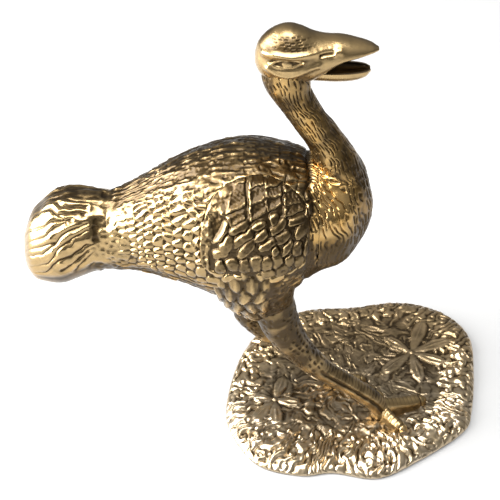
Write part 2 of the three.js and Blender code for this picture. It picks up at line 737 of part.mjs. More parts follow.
function neckCasting() {
  const face = frontX + FIT_GAP;
  const bodyRoom = loft(grown(trunkRibs, FIT_GAP), BODY_SIDES).subtract(beyondX(face));
  return loft(neckRibs, LIMB_SIDES)
    .subtract(bodyRoom)
    .add(trunk.intersect(beyondX(face)))
    .add(bar([face + OVERRUN, 0, frontZ], [frontX - NECK_SPIGOT_LENGTH, 0, frontZ], NECK_SPIGOT_DIAMETER))
    .subtract(pinBore(crossPins.neck_pin))
    .subtract(studBore());
}

// Head with the upper bill: sections forward from the neck's top, as shares of the head's sizes.
const HEAD = [
  [-0.24, 0.28, 0.04, 0.107],
  [-0.207, 0.46, -0.108, 0.268],
  [-0.133, 0.625, -0.246, 0.41],
  [-0.04, 0.728, -0.308, 0.482],
  [0.052, 0.752, -0.308, 0.51],
  [0.144, 0.7, -0.27, 0.49],
  [0.237, 0.61, -0.26, 0.464],
  [0.348, 0.56, -0.05, 0.4375],
  [0.478, 0.545, 0.062, 0.4],
  [0.607, 0.48, 0.1, 0.32],
  [0.71, 0.41, 0.18, 0.215],
  [0.775, 0.325, 0.225, 0.09],
];
const headX = (share) => neckTopX + share * HEAD_LENGTH;
const headZ = (share) => neckTopZ + share * HEAD_HEIGHT;

// The lower bill is a trough with a level rim, hung from a knuckle in the head by a pin through both cheeks.
const JAW_HINGE = [0.326, 0.06];
const jawX = headX(JAW_HINGE[0]);
const rimZ = headZ(JAW_HINGE[1]) - MOUTH_OPENING;
const knuckleZ = rimZ + KNUCKLE_DIAMETER / 4;
const LOWER_BILL = [
  [-0.17, 0.4, 0.3],
  [0, 0.95, 0.48],
  [0.3, 1, 0.5],
  [0.62, 0.94, 0.41],
  [0.88, 0.68, 0.24],
  [1, 0.26, 0.09],
];
const lowerBillRibs = LOWER_BILL.map(([along, deep, half]) => {
  const x = jawX + along * LOWER_BILL_LENGTH;
  const reach = deep * LOWER_BILL_DEPTH;
  return rib([x, rimZ + reach], [x, rimZ - reach], half * LOWER_BILL_WIDTH);
});

function lowerBill() {
  return loft(lowerBillRibs, LIMB_SIDES)
    .subtract(beyondZ(rimZ))
    .subtract(loft(grown(lowerBillRibs, -BILL_WALL), LIMB_SIDES))
    .add(crossBar([jawX, 0, knuckleZ], KNUCKLE_LENGTH, KNUCKLE_DIAMETER))
    .subtract(crossBar([jawX, 0, knuckleZ], HEAD_WIDTH, JAW_PIN_DIAMETER + 2 * PIN_PLAY));
}

function headCasting() {
  const ribs = HEAD.map(([along, top, bottom, half]) =>
    rib([headX(along), headZ(top)], [headX(along), headZ(bottom)], half * HEAD_WIDTH),
  );
  const neckRoom = grown(neckRibs, FIT_GAP);
  neckRoom.at(-1).centre = new THREE.Vector3(neckTopX, 0, neckTopZ + FIT_GAP);
  return loft(ribs, HEAD_SIDES)
    .subtract(loft(neckRoom, LIMB_SIDES))
    .subtract(loft(grown(lowerBillRibs, FIT_GAP), LIMB_SIDES))
    .subtract(studBore())
    .subtract(crossBar([jawX, 0, knuckleZ], KNUCKLE_LENGTH + 2 * FIT_GAP, KNUCKLE_DIAMETER + 2 * FIT_GAP))
    .subtract(crossBar([jawX, 0, knuckleZ], HEAD_WIDTH, JAW_PIN_DIAMETER + 2 * PIN_PLAY));
}

// Assembly
const body = bodyCasting();
addPiece(group, "base_slab", groundPlate(), brass());
addPiece(bird, "right_leg", legCasting("right"), brass());
addPiece(bird, "left_leg", legCasting("left"), brass());
addPiece(bird, "right_foot_screw", footScrew(legs.right), steel());
addPiece(bird, "left_foot_screw", footScrew(legs.left), steel());
addPiece(bird, "right_body_shell", body.intersect(rightOf(-FIT_GAP / 2)), brass());
addPiece(bird, "left_body_shell", body.intersect(leftOf(FIT_GAP / 2)), brass());
addPiece(bird, "right_wing", wing(-1), brass());
addPiece(bird, "left_wing", wing(1), brass());
addPiece(bird, "tail_plume", tailPlume(), brass());
addPiece(bird, "neck", neckCasting(), brass());
addPiece(bird, "head", headCasting(), brass());
addPiece(bird, "lower_bill", lowerBill(), brass());
for (const [name, pin] of Object.entries(crossPins)) addPiece(bird, name, pinBar(pin), steel());
addPiece(bird, "head_stud", headStud(), steel());
addPiece(bird, "jaw_pin", crossBar([jawX, 0, knuckleZ], JAW_PIN_LENGTH, JAW_PIN_DIAMETER), brass());

export default group;
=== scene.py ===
# %% [markdown]
# # A cast brass ostrich on its ground plate
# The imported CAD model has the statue's castings as smooth solids. This lesson lays the chased surface over
# them: feathers, plumes, scutes, a face and an engraved ground, all as real geometry, and then gives the
# brass its dark patina. The first step loads the solids, which stay the measure of every size.

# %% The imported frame
import bpy
import numpy as np
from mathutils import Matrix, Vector


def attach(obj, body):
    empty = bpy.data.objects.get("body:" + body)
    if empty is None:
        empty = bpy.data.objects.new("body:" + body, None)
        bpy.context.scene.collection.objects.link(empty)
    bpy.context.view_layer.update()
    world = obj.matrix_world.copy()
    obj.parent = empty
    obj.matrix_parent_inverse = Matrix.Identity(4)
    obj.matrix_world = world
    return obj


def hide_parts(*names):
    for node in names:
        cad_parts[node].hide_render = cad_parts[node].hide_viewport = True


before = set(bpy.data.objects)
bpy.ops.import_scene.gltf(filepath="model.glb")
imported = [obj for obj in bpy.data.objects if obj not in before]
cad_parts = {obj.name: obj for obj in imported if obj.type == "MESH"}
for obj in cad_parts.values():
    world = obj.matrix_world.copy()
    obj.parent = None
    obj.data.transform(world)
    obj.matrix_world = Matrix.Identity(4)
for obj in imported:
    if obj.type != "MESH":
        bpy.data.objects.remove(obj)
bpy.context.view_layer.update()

MM = 0.001
MEDIAN_Y = -10.0
print("solids loaded:", len(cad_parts))

# %% [markdown]
# ## Curves through a few given places
# A casting's form is drawn by a handful of sections, as a sculptor sets ribs in a clay model. A smooth
# curve runs through them. The Catmull-Rom rule is used because it passes through every rib, so a rib can be
# moved without upsetting the others far away.

# %% Curves
FINE_STEPS = 2001


def cubic(rows, w):
    """Cubic between the middle two of four rows. Its slopes are half the step between the neighbours."""
    a, b, c, d = rows
    return b + 0.5 * w * (c - a + w * (2 * a - 5 * b + 4 * c - d + w * (3 * (b - c) + d - a)))


def curve(knots, share):
    """A cubic through every row of knots, from the first at share 0 to the last at share 1."""
    held = np.vstack([2 * knots[0] - knots[1], knots, 2 * knots[-1] - knots[-2]])
    place = np.clip(share, 0, 1) * (len(knots) - 1)
    first = np.minimum(place.astype(int), len(knots) - 2)
    return cubic([held[first + step] for step in range(4)], (place - first)[..., None])


def ring_curve(knots, share):
    """The same cubic, closed: after the last row of knots it runs on to the first."""
    count = len(knots)
    place = np.mod(share, 1) * count
    first = place.astype(int)
    return cubic([knots[(first + step - 1) % count] for step in range(4)], (place - first)[..., None])


def distance_along(points):
    """Running length of a line of points, 0 at the first."""
    return np.append(0, np.cumsum(np.linalg.norm(np.diff(points, axis=0), axis=1)))


def even_shares(knots, count):
    """Shares that step evenly along a curve: its length is summed in short steps and read back evenly."""
    fine = np.linspace(0, 1, FINE_STEPS)
    run = distance_along(curve(knots, fine))
    return np.interp(np.linspace(0, run[-1], count), run, fine)


def ease(low, high, value):
    """0 up to low, 1 from high on, and a smooth S between them (3t^2 - 2t^3)."""
    t = np.clip((value - low) / (high - low), 0, 1)
    return t * t * (3 - 2 * t)


def between(rise, full, fade, gone, value):
    """0 up to rise, 1 from full to fade, 0 again from gone on, and a smooth S on both sides."""
    return ease(rise, full, value) * (1 - ease(fade, gone, value))


def bell(value, width):
    """A bump of height 1 at value 0: e to the power of minus the square of value over width."""
    return np.exp(-((value / width) ** 2))


def blend(one, other, share):
    """One where share is 0, other where it is 1."""
    return one + (other - one) * share


# %% [markdown]
# ## Sections and skins
# Every casting is a skin over elliptical ribs. One number says how far along the ribs a point lies, the
# other how far round. Written that way the whole skin is one numpy expression, and a relief can later be
# added along its normals, which is what a chasing tool does to a cast surface.

# %% Sections and skins
def ribs_between(backs, fronts, halves, y=MEDIAN_Y):
    """Ribs with one half axis from the middle to the back point (x, z), the other across the bird."""
    middle, reach = (backs + fronts) / 2, (backs - fronts) / 2
    none = np.zeros(len(halves))
    centre = np.column_stack([middle[:, 0], none + y, middle[:, 1]])
    up = np.column_stack([reach[:, 0], none, reach[:, 1]])
    side = np.column_stack([none, -halves, none])
    return centre, up, side


def loft(ribs, shares, angles):
    """Point = centre + up cos(angle) + side sin(angle). Angle 0 is the back, a quarter turn the right."""
    centre, up, side = (curve(table, shares)[:, None, :] for table in ribs)
    turn = angles[None, :, None]
    return centre + up * np.cos(turn) + side * np.sin(turn)


def full_turn(count):
    """Evenly spaced angles for a closed ring, the last one just short of the first."""
    return np.arange(count) * 2 * np.pi / count


def outward(points, closed=True):
    """Unit normals: the cross product of the steps along and across the grid, turned away from the middle."""
    along = np.gradient(points, axis=0)
    if closed:
        across = np.roll(points, -1, axis=1) - np.roll(points, 1, axis=1)
    else:
        across = np.gradient(points, axis=1)
    normal = np.cross(along, across)
    normal /= np.linalg.norm(normal, axis=-1, keepdims=True) + 1e-12
    away = points - points.mean(axis=1, keepdims=True)
    return normal * np.sign(np.sum(normal * away))


def raised(points, relief, closed=True):
    """The skin moved along its normals by the relief, both in millimetres."""
    return points + outward(points, closed) * relief[..., None]


# %% [markdown]
# ## Noise
# Hand work is never quite even. Repeatable noise moves and varies the marks, so that the same script always
# makes the same statue. It is written here and not taken from a texture, because it has to move real
# points.

# %% Noise
def chance(*cells, seed=0):
    """A repeatable random number from 0 to 1 for whole-numbered cells: the fraction of a large sine."""
    mixed = 17.13 * seed
    for cell, weight in zip(cells, (12.9898, 78.233, 37.719)):
        mixed = mixed + cell * weight
    return np.modf(np.abs(np.sin(mixed) * 43758.5453))[0]


def noise(x, y, z=0.0, seed=0):
    """Smooth noise from -1 to 1: random numbers at whole places, eased between the eight nearest."""
    x, y, z = np.broadcast_arrays(x, y, z)
    i, j, k = np.floor(x), np.floor(y), np.floor(z)
    u, v, w = (ease(0, 1, part) for part in (x - i, y - j, z - k))
    total = 0
    for di, du in ((0, 1 - u), (1, u)):
        for dj, dv in ((0, 1 - v), (1, v)):
            for dk, dw in ((0, 1 - w), (1, w)):
                total = total + du * dv * dw * chance(i + di, j + dj, k + dk, seed=seed)
    return 2 * total - 1


print("noise at one place:", noise(0.5, 0.5).round(3))

# %% [markdown]
# ## Tool marks
# Two kinds of mark cover most of the bird: overlapping scales, for feathers and tufts, and short cut
# strokes, for the neck and the legs. Both are patterns of cells: each point finds its cell, and the cell's
# own random numbers shape the mark.

# %% Tool marks
def scales(along, across, reach, half, round_from, seed):
    """Overlapping scales. Rows step by 1 along, scales by 1 across, every other row shifted by a half.

    A scale starts at its row, is as wide as half on each side, and narrows like an ellipse from round_from
    to its tip at reach. Where scales overlap, the one that started first lies on top. Each rises towards its
    tip. Returns its height from 0 to 1, the place across it, the inset from its edge and its own chance."""
    height = np.zeros(np.broadcast(along, across).shape)
    offset, inset, own = (height.copy() for _ in range(3))
    covered = np.zeros(height.shape, bool)
    for back in range(int(np.ceil(reach)) - 1, -1, -1):
        row = np.floor(along) - back
        shift = 0.5 * np.mod(row, 2) + 0.2 * (chance(row, seed=seed) - 0.5)
        column = np.round(across - shift)
        random = chance(row, column, seed=seed + 1)
        share = (along - row) / (reach * (0.84 + 0.16 * random))
        aside = across - column - shift
        narrow = np.clip((share - round_from) / (1 - round_from), 0, 1)
        width = half * (0.92 + 0.08 * chance(column, row, seed=seed + 2)) * np.sqrt(1 - narrow**2)
        edge = (width - np.abs(aside)) / half
        inside = (edge > 0) & (share <= 1) & ~covered
        dome = 0.15 + 0.85 * np.sqrt(np.clip(edge / 0.85, 0, 1))
        lift = (0.35 + 0.65 * share) * (1 - 0.5 * ease(0.75, 1, share)) * dome * (0.75 + 0.5 * random)
        for grid, value in ((height, lift), (offset, aside), (inset, edge), (own, random)):
            grid[inside] = value[inside]
        covered |= inside
    return height, offset, inset, own


def strokes(along, across, length, width, kept, seed):
    """Short cuts, one in each cell of a brick pattern, moved a little at random, with the share kept left in.

    Depth is a bell curve across the cut, and fades over the last fifth of a cell at its ends."""
    row = np.floor(across)
    run = along + 0.5 * np.mod(row, 2) + chance(row, seed=seed)
    cell = np.floor(run)
    slide, lean, keep = (chance(cell, row, seed=seed + step) for step in (1, 2, 3))
    beside = across - row - 0.5 - 0.35 * (slide - 0.5)
    beyond = np.abs(run - cell - 0.5 - 0.2 * (lean - 0.5))
    return bell(beside, width) * ease(0, 0.2, length / 2 + 0.1 - beyond) * (keep < kept)


# %% [markdown]
# ## Where patina stays
# A cloth rubs the high places bright and misses the hollows. How far a point lies below the mean of its
# surroundings tells the two apart. It is worked out on the grid, since the grid is what has the relief.

# %% Patina
def blurred(grid, reach):
    """Mean over a square of cells, from running sums along both directions."""
    wide = np.pad(grid, reach, mode="edge")
    total = np.pad(np.cumsum(np.cumsum(wide, axis=0), axis=1), ((1, 0), (1, 0)))
    size = 2 * reach + 1
    square = total[size:, size:] - total[:-size, size:] - total[size:, :-size] + total[:-size, :-size]
    return square / size**2


def hollows(relief, reach, depth):
    """How far a point lies below its surroundings, as a share of depth, from 0 to 1."""
    return np.clip((blurred(relief, reach) - relief) / depth, 0, 1)


def patina(relief, depth, film_and_painted_light):
    """Stain from 0 to 1: a film all over, rubbed off the high edges, and more in fine and in wide hollows."""
    fine, wide = (blurred(relief, reach) - relief for reach in (4, 14))
    rubbed_and_highlit = ease(0.25, 1.1, -fine / depth)
    return film_and_painted_light * (1 - rubbed_and_highlit) + np.clip(fine / depth, 0, 1) + 0.5 * np.clip(wide / (1.6 * depth), 0, 1)


# %% [markdown]
# ## From a grid to a mesh
# A grid becomes a closed mesh: quads between neighbouring points, the last column joined to the first, and
# a fan over each end. Each vertex keeps two numbers for the finish: hollow, which the brass
# reads as patina and also as painted shade and painted highlights, and skin, where the metal is warmer: its
# own tone on bare skin, a painted reflection of the floor under the belly and the tail, and warmer towards
# the back on the plate. The faces also get a UV map straight from the grid, so that a bake needs no
# unwrapping.

# %% Grid to mesh
CAP_BAND = 0.02
PLATE_FACE, PLATE_BACK, PLATE_RIM = 0.48, 0.49, 0.985
MARKS_PER_SHELL = 100


def shell(points, hollow, crease=(), skin=0.0):
    """A closed skin: the grid's quads, wrapped round its columns, and a fan from each end ring to its middle.

    crease lists columns whose lengthwise edges stay sharp. The end rings are always sharp."""
    rows, columns = points.shape[:2]
    count = rows * columns
    index = np.arange(count).reshape(rows, columns)
    nearby = np.roll(index, -1, axis=1)
    quads = np.stack([index[:-1], nearby[:-1], nearby[1:], index[1:]], axis=-1).reshape(-1, 4)
    start_fan = np.stack([np.full(columns, count), nearby[0], index[0]], axis=-1)
    end_fan = np.stack([np.full(columns, count + 1), index[-1], nearby[-1]], axis=-1)
    u = np.arange(columns + 1) / columns
    v = CAP_BAND + (1 - 2 * CAP_BAND) * np.arange(rows) / (rows - 1)
    left, low = np.meshgrid(u[:-1], v[:-1])
    right, high = np.meshgrid(u[1:], v[1:])
    quad_uv = np.stack([left, low, right, low, right, high, left, high], axis=-1)
    middle, flat = (u[1:] + u[:-1]) / 2, np.zeros(columns)
    start_uv = np.stack([middle, flat, u[1:], flat + v[0], u[:-1], flat + v[0]], axis=-1)
    end_uv = np.stack([middle, flat + 1, u[:-1], flat + v[-1], u[1:], flat + v[-1]], axis=-1)
    marks = np.zeros((rows, columns, 2), int)
    marks[[0, -1], :, 0] = [[1], [2]]
    marks[:, list(crease), 1] = np.arange(1, len(crease) + 1)
    return {
        "vertices": np.vstack([points.reshape(-1, 3), points[0].mean(axis=0), points[-1].mean(axis=0)]),
        "hollow": np.append(hollow, [hollow[0].mean(), hollow[-1].mean()]),
        "skin": np.append(skin + 0 * hollow, [0, 0]),
        "quads": quads,
        "triangles": np.vstack([start_fan, end_fan]),
        "uv": np.vstack([each.reshape(-1, 2) for each in (quad_uv, start_uv, end_uv)]),
        "marks": np.vstack([marks.reshape(-1, 2), np.zeros((2, 2), int)]),
    }


def slab(outer, inner, hollow):
    """A closed plate: an outer grid, an inner one behind it, and a strip of quads that joins their edges."""
    rows, columns = outer.shape[:2]
    count = rows * columns
    index = np.arange(count).reshape(rows, columns)
    front = np.stack([index[:-1, :-1], index[:-1, 1:], index[1:, 1:], index[1:, :-1]], axis=-1).reshape(-1, 4)
    back = front[:, ::-1]
    loop = np.concatenate([index[0, :-1], index[:-1, -1], index[-1, :0:-1], index[:0:-1, 0]])
    after = np.roll(loop, -1)
    strip = np.stack([after, loop, loop + count, after + count], axis=-1)
    v, u = np.divmod(index.ravel(), columns)
    flat = np.column_stack([PLATE_FACE * u / (columns - 1), v / (rows - 1)])
    place = np.arange(len(loop)) / len(loop)
    low, high = (np.column_stack([np.full(len(loop), edge), place]) for edge in (PLATE_RIM, 1))
    step = [0, 1 / len(loop)]
    strip_uv = np.stack([low + step, low, high, high + step], axis=1)
    face_uv, back_uv = flat[front], flat[back] + [PLATE_BACK, 0]
    return {
        "vertices": np.vstack([outer.reshape(-1, 3), inner.reshape(-1, 3)]),
        "hollow": np.append(hollow, np.ones(count)),
        "skin": np.zeros(2 * count),
        "quads": np.vstack([front, back + count, strip]),
        "triangles": np.zeros((0, 3), int),
        "uv": np.vstack([each.reshape(-1, 2) for each in (face_uv, back_uv, strip_uv)]),
        "marks": np.zeros((2 * count, 2), int),
    }


# %% [markdown]
# A piece is one object made of one or more closed skins. Blender takes the corners of all faces as one long
# list, which is far quicker than adding faces one at a time. A skin whose faces point inwards is turned
# round.

# %% Making a piece
def volume(vertices, quads):
    """Six times the signed volume under the quads, from the triple products of their two triangles."""
    a, b, c, d = (vertices[quads[:, corner]] for corner in range(4))
    return np.sum(a * np.cross(b, c)) + np.sum(a * np.cross(c, d))


def sharp_edges(mesh, marks):
    """True for every edge whose two vertices carry the same mark above 0, in either column of marks."""
    pairs = np.empty(2 * len(mesh.edges), np.int32)
    mesh.edges.foreach_get("vertices", pairs)
    one, other = marks[pairs[0::2]], marks[pairs[1::2]]
    return np.any((one == other) & (one > 0), axis=1)


def placed(name, data):
    """A new object of that data, linked to the scene."""
    thing = bpy.data.objects.new(name, data)
    bpy.context.scene.collection.objects.link(thing)
    return thing


def make_piece(name, nodes, shells, material):
    """One object from closed skins, in metres, riding on the statue and standing for its CAD nodes."""
    offset, parts = 0, []
    for number, each in enumerate(shells):
        loops = np.append(each["quads"], each["triangles"])
        sizes = np.repeat([4, 3], [len(each["quads"]), len(each["triangles"])])
        uv = (each["uv"] + [number, 0]) / [len(shells), 1]
        if volume(each["vertices"] - each["vertices"].mean(axis=0), each["quads"]) < 0:
            turned = np.repeat(2 * np.cumsum(sizes) - sizes, sizes) - 1 - np.arange(len(loops))
            loops, uv = loops[turned], uv[turned]
        marks = np.where(each["marks"] > 0, each["marks"] + MARKS_PER_SHELL * number, 0)
        parts.append((each["vertices"] * MM, loops + offset, sizes, uv, each["hollow"], each["skin"], marks))
        offset += len(each["vertices"])
    vertices, corners, sizes, uv, hollow, skin, marks = (np.concatenate(values) for values in zip(*parts))
    mesh = bpy.data.meshes.new(name)
    mesh.vertices.add(len(vertices))
    mesh.vertices.foreach_set("co", vertices.ravel())
    mesh.loops.add(len(corners))
    mesh.loops.foreach_set("vertex_index", corners.astype(np.int32))
    mesh.polygons.add(len(sizes))
    mesh.polygons.foreach_set("loop_start", (np.cumsum(sizes) - sizes).astype(np.int32))
    mesh.update(calc_edges=True)
    mesh.validate()
    mesh.shade_smooth()
    sharp = sharp_edges(mesh, marks)
    mesh.attributes.new("sharp_edge", "BOOLEAN", "EDGE").data.foreach_set("value", sharp)
    for label, values in (("hollow", hollow), ("skin", skin)):
        numbers = mesh.attributes.new(label, "FLOAT", "POINT")
        numbers.data.foreach_set("value", values.astype(np.float32))
    mesh.uv_layers.new(name="OFBake").uv.foreach_set("vector", uv.astype(np.float32).ravel())
    mesh.materials.append(material)
    piece = placed(name, mesh)
    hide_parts(*nodes)
    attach(piece, "root")
    print(name, "triangles:", np.sum(sizes - 2))


# %% [markdown]
# ## The finishes
# Old brass is bright where hands and cloths reach it and dark brown where they don't. The shader mixes the
# two by the hollow attribute, which also holds painted shade and painted highlights, broken
# up by noise so that the border isn't a clean line. Metal has no colour of its own besides its reflection, so
# the base colour is the tint of that reflection, and the skin attribute leads it to a warmer one; under the
# belly and the tail that warmth is a painted reflection of the floor. The fine cast grain is a small bump. A
# few helpers come first, which make nodes and join them.

# %% Shader nodes
def put(tree, socket, value):
    """A number or colour set on a socket, or a link to it where the value is another node's socket."""
    if isinstance(value, bpy.types.NodeSocket):
        tree.links.new(value, socket)
    else:
        socket.default_value = value


def feed(tree, node, **inputs):
    """The node with its inputs set. An underscore stands for a space in an input's name."""
    for name, value in inputs.items():
        put(tree, node.inputs[name.replace("_", " ")], value)
    return node


def linked(tree, kind, **inputs):
    """A new node of a kind with its inputs set."""
    return feed(tree, tree.nodes.new(kind), **inputs)


def mapped(tree, value, low, high, to_low, to_high):
    """Value from low..high carried to to_low..to_high, held at both ends."""
    ends = dict(From_Min=low, From_Max=high, To_Min=to_low, To_Max=to_high)
    return linked(tree, "ShaderNodeMapRange", Value=value, **ends).outputs["Result"]


def mixed_colour(tree, factor, one, other):
    """Colour one where factor is 0, colour other where it is 1."""
    node = tree.nodes.new("ShaderNodeMix")
    node.data_type = "RGBA"
    for socket, value in zip((0, 6, 7), (factor, one, other)):
        put(tree, node.inputs[socket], value)
    return node.outputs[2]


def bare_material(name):
    """An empty node tree with its output and a Principled shader already joined, and places to read."""
    material = bpy.data.materials.new(name)
    material.use_nodes = True
    tree = material.node_tree
    tree.nodes.clear()
    shader = tree.nodes.new("ShaderNodeBsdfPrincipled")
    linked(tree, "ShaderNodeOutputMaterial", Surface=shader.outputs["BSDF"])
    place = tree.nodes.new("ShaderNodeTexCoord").outputs["Object"]
    return material, tree, shader, place


# %% Brass and steel
WARM_BRASS = (0.56, 0.34, 0.11, 1)
PALE_BRASS = (0.51, 0.355, 0.165, 1)
GREY_BRASS = (0.57, 0.475, 0.345, 1)
WORN_BRASS = (0.57, 0.415, 0.205, 1)
PATINA = (0.042, 0.025, 0.009, 1)
STEEL = (0.55, 0.55, 0.54, 1)
BLOTCH_SCALE, GRAIN_SCALE, TURNING_SCALE = 260.0, 2600.0, 1800.0
RAGGED = 0.18
COAT_WEIGHT, COAT_ROUGHNESS = 0.22, 0.12
GRAIN_STRENGTH, GRAIN_DEPTH = 0.12, 0.0002


def antique_brass(name, metal, smooth, rough, stain):
    """Brass from smooth on the high parts to rough in the hollows, with patina and painted shade as strong as
    stain.
    """
    material, tree, shader, place = bare_material(name)
    # The first attribute is patina together with painted shade and painted highlights; the second, skin, is
    # partly a painted floor reflection.
    hollow, skin = (linked(tree, "ShaderNodeAttribute") for _ in range(2))
    hollow.attribute_name, skin.attribute_name = "hollow", "skin"
    blotch = linked(tree, "ShaderNodeTexNoise", Vector=place, Scale=BLOTCH_SCALE, Detail=4.0, Roughness=0.6)
    grain = linked(tree, "ShaderNodeTexNoise", Vector=place, Scale=GRAIN_SCALE, Detail=2.0)
    ragged = linked(tree, "ShaderNodeMath", Value=hollow.outputs["Fac"])
    ragged.operation = "ADD"
    put(tree, ragged.inputs[1], mapped(tree, blotch.outputs["Fac"], 0.3, 0.7, -RAGGED, RAGGED))
    dark = mapped(tree, ragged.outputs["Value"], -0.1, 0.72, 0.0, stain)
    bare = mixed_colour(tree, skin.outputs["Fac"], metal, WARM_BRASS)
    worn_and_highlit = mapped(tree, blotch.outputs["Fac"], 0.35, 0.65, 0.0, 0.5)
    tone = mixed_colour(tree, dark, mixed_colour(tree, worn_and_highlit, bare, WORN_BRASS), PATINA)
    gloss = mapped(tree, dark, 0.0, 1.0, smooth, rough)
    size = dict(Strength=GRAIN_STRENGTH, Distance=GRAIN_DEPTH)
    bump = linked(tree, "ShaderNodeBump", Height=grain.outputs["Fac"], **size)
    feed(tree, shader, Base_Color=tone, Roughness=gloss, Metallic=1.0, Normal=bump.outputs["Normal"])
    feed(tree, shader, Coat_Weight=COAT_WEIGHT, Coat_Roughness=COAT_ROUGHNESS)
    return material


def plain_steel(name):
    """Grey metal whose gloss varies with fine noise."""
    material, tree, shader, place = bare_material(name)
    marks = linked(tree, "ShaderNodeTexNoise", Vector=place, Scale=TURNING_SCALE, Detail=3.0)
    gloss = mapped(tree, marks.outputs["Fac"], 0.3, 0.7, 0.28, 0.45)
    feed(tree, shader, Base_Color=STEEL, Roughness=gloss, Metallic=1.0)
    return material


feather_brass = antique_brass("feather_brass", PALE_BRASS, 0.17, 0.4, 0.96)
skin_brass = antique_brass("skin_brass", WARM_BRASS, 0.2, 0.42, 0.93)
polished_brass = antique_brass("polished_brass", PALE_BRASS, 0.27, 0.42, 0.95)
ground_brass = antique_brass("ground_brass", GREY_BRASS, 0.3, 0.42, 0.93)
steel = plain_steel("pin_steel")
print("finishes:", [each.name for each in (feather_brass, skin_brass, polished_brass, ground_brass, steel)])

# %% [markdown]
# ## The trunk
# The body is an egg that narrows to the rump. Its sections are given as shares of its length, height and
# width, as in the CAD model. The front is cut off where the breast and neck, a casting of their own, begin.

# %% Trunk sections
BODY_CENTRE_X, BODY_CENTRE_Z = -31.0, 69.3
BODY_LENGTH, BODY_HEIGHT, BODY_WIDTH = 65.0, 43.0, 36.8
FRONT_X = BODY_CENTRE_X + 0.246 * BODY_LENGTH
REAR_X = BODY_CENTRE_X - 0.54 * BODY_LENGTH
TRUNK_SAMPLES = 801
TRUNK = np.array([
    # place along, top, bottom, half width
    [-0.54, 0.16, -0.322, 0.24],
    [-0.43, 0.238, -0.325, 0.288],
    [-0.27, 0.38, -0.388, 0.389],
    [-0.12, 0.467, -0.472, 0.478],
    [0, 0.488, -0.498, 0.5],
    [0.114, 0.465, -0.468, 0.473],
    [0.19, 0.434, -0.404, 0.424],
    [0.266, 0.4, -0.308, 0.359],
    [0.338, 0.353, -0.24, 0.293],
])


def standing_ribs(x, top, bottom, half):
    """Upright ribs at each x, from the heights of their top and bottom and their half width."""
    return ribs_between(np.column_stack([x, top]), np.column_stack([x, bottom]), half)


trunk_x = BODY_CENTRE_X + TRUNK[:, 0] * BODY_LENGTH
trunk_top, trunk_bottom = BODY_CENTRE_Z + TRUNK[:, 1:3].T * BODY_HEIGHT
trunk_ribs = standing_ribs(trunk_x, trunk_top, trunk_bottom, TRUNK[:, 3] * BODY_WIDTH)
fine_shares = np.linspace(0, 1, TRUNK_SAMPLES)
fine_centre, fine_up, fine_side = (curve(table, fine_shares) for table in trunk_ribs)


def trunk_share(x):
    """How far along the ribs a given x lies, read back from the finely sampled curve."""
    return np.interp(x, fine_centre[:, 0], fine_shares)


def trunk_reach(x, z, grown):
    """Distance of the trunk's skin from the median plane at (x, z), with its ribs grown by a distance."""
    middle = np.interp(x, fine_centre[:, 0], fine_centre[:, 2])
    tall = np.interp(x, fine_centre[:, 0], fine_up[:, 2]) + grown
    wide = -np.interp(x, fine_centre[:, 0], fine_side[:, 1]) + grown
    return wide * np.sqrt(np.clip(1 - ((z - middle) / tall) ** 2, 0, 1))


print("body from x", round(REAR_X, 1), "to", round(FRONT_X, 1), "mm")

# %% [markdown]
# ## The wings
# Each folded wing is a plate set into the body's side. Its outline has four sides with rounded corners, so
# a Coons patch covers it: the blend of two opposite sides, plus the blend of the other two, less the blend
# of the corners. Every point is then pushed out to the trunk's skin. The same rule gives the plate's inner
# face.

# %% Wing surface
WING_OUTLINE = np.array([
    [-0.125, 0.365], [-0.177, 0.22], [-0.19, 0.08], [-0.175, -0.03], [-0.12, -0.075], [-0.02, -0.09],
    [0.09, -0.1], [0.17, -0.07], [0.208, 0.03], [0.214, 0.16], [0.195, 0.31], [0.1, 0.412], [-0.015, 0.432],
])
WING_RAISE, WING_THICKNESS = 0.5, 1.5
WING_ROWS, WING_COLUMNS = 170, 180


def on_body(shares):
    """Shares of the body's length and height as (x, z) in millimetres."""
    return shares * [BODY_LENGTH, BODY_HEIGHT] + [BODY_CENTRE_X, BODY_CENTRE_Z]


def wing_edge(knot):
    """The outline's points from its knots' numbers, counted from the upper rear corner down and round."""
    return ring_curve(on_body(WING_OUTLINE), knot / len(WING_OUTLINE))


def wing_places(rows, columns):
    """A Coons patch between the rear, bottom, front and top edges: (x, z) with u from the rear and v up."""
    u, v = np.linspace(0, 1, columns)[None, :], np.linspace(0, 1, rows)[:, None]
    bottom, top = wing_edge(3 + 4 * u), wing_edge(13 - 3 * u)
    rear, front = wing_edge(3 - 3 * v), wing_edge(7 + 3 * v)
    u, v = u[..., None], v[..., None]
    low = (1 - u) * bottom[:, :1] + u * bottom[:, -1:]
    high = (1 - u) * top[:, :1] + u * top[:, -1:]
    return (1 - v) * (bottom - low) + v * (top - high) + (1 - u) * rear + u * front


print("wing's length and height:", np.ptp(on_body(WING_OUTLINE), axis=0).round(1), "mm")

# %% [markdown]
# The coverts were chased one by one, so each has its own place: one corner, the way along it and the way up
# it, in millimetres seen from the side. The upper ones are square, with a hatched floor and a bright border
# at their rear and lower edges. The lower ones are pillows. Where two meet, the higher one shows.

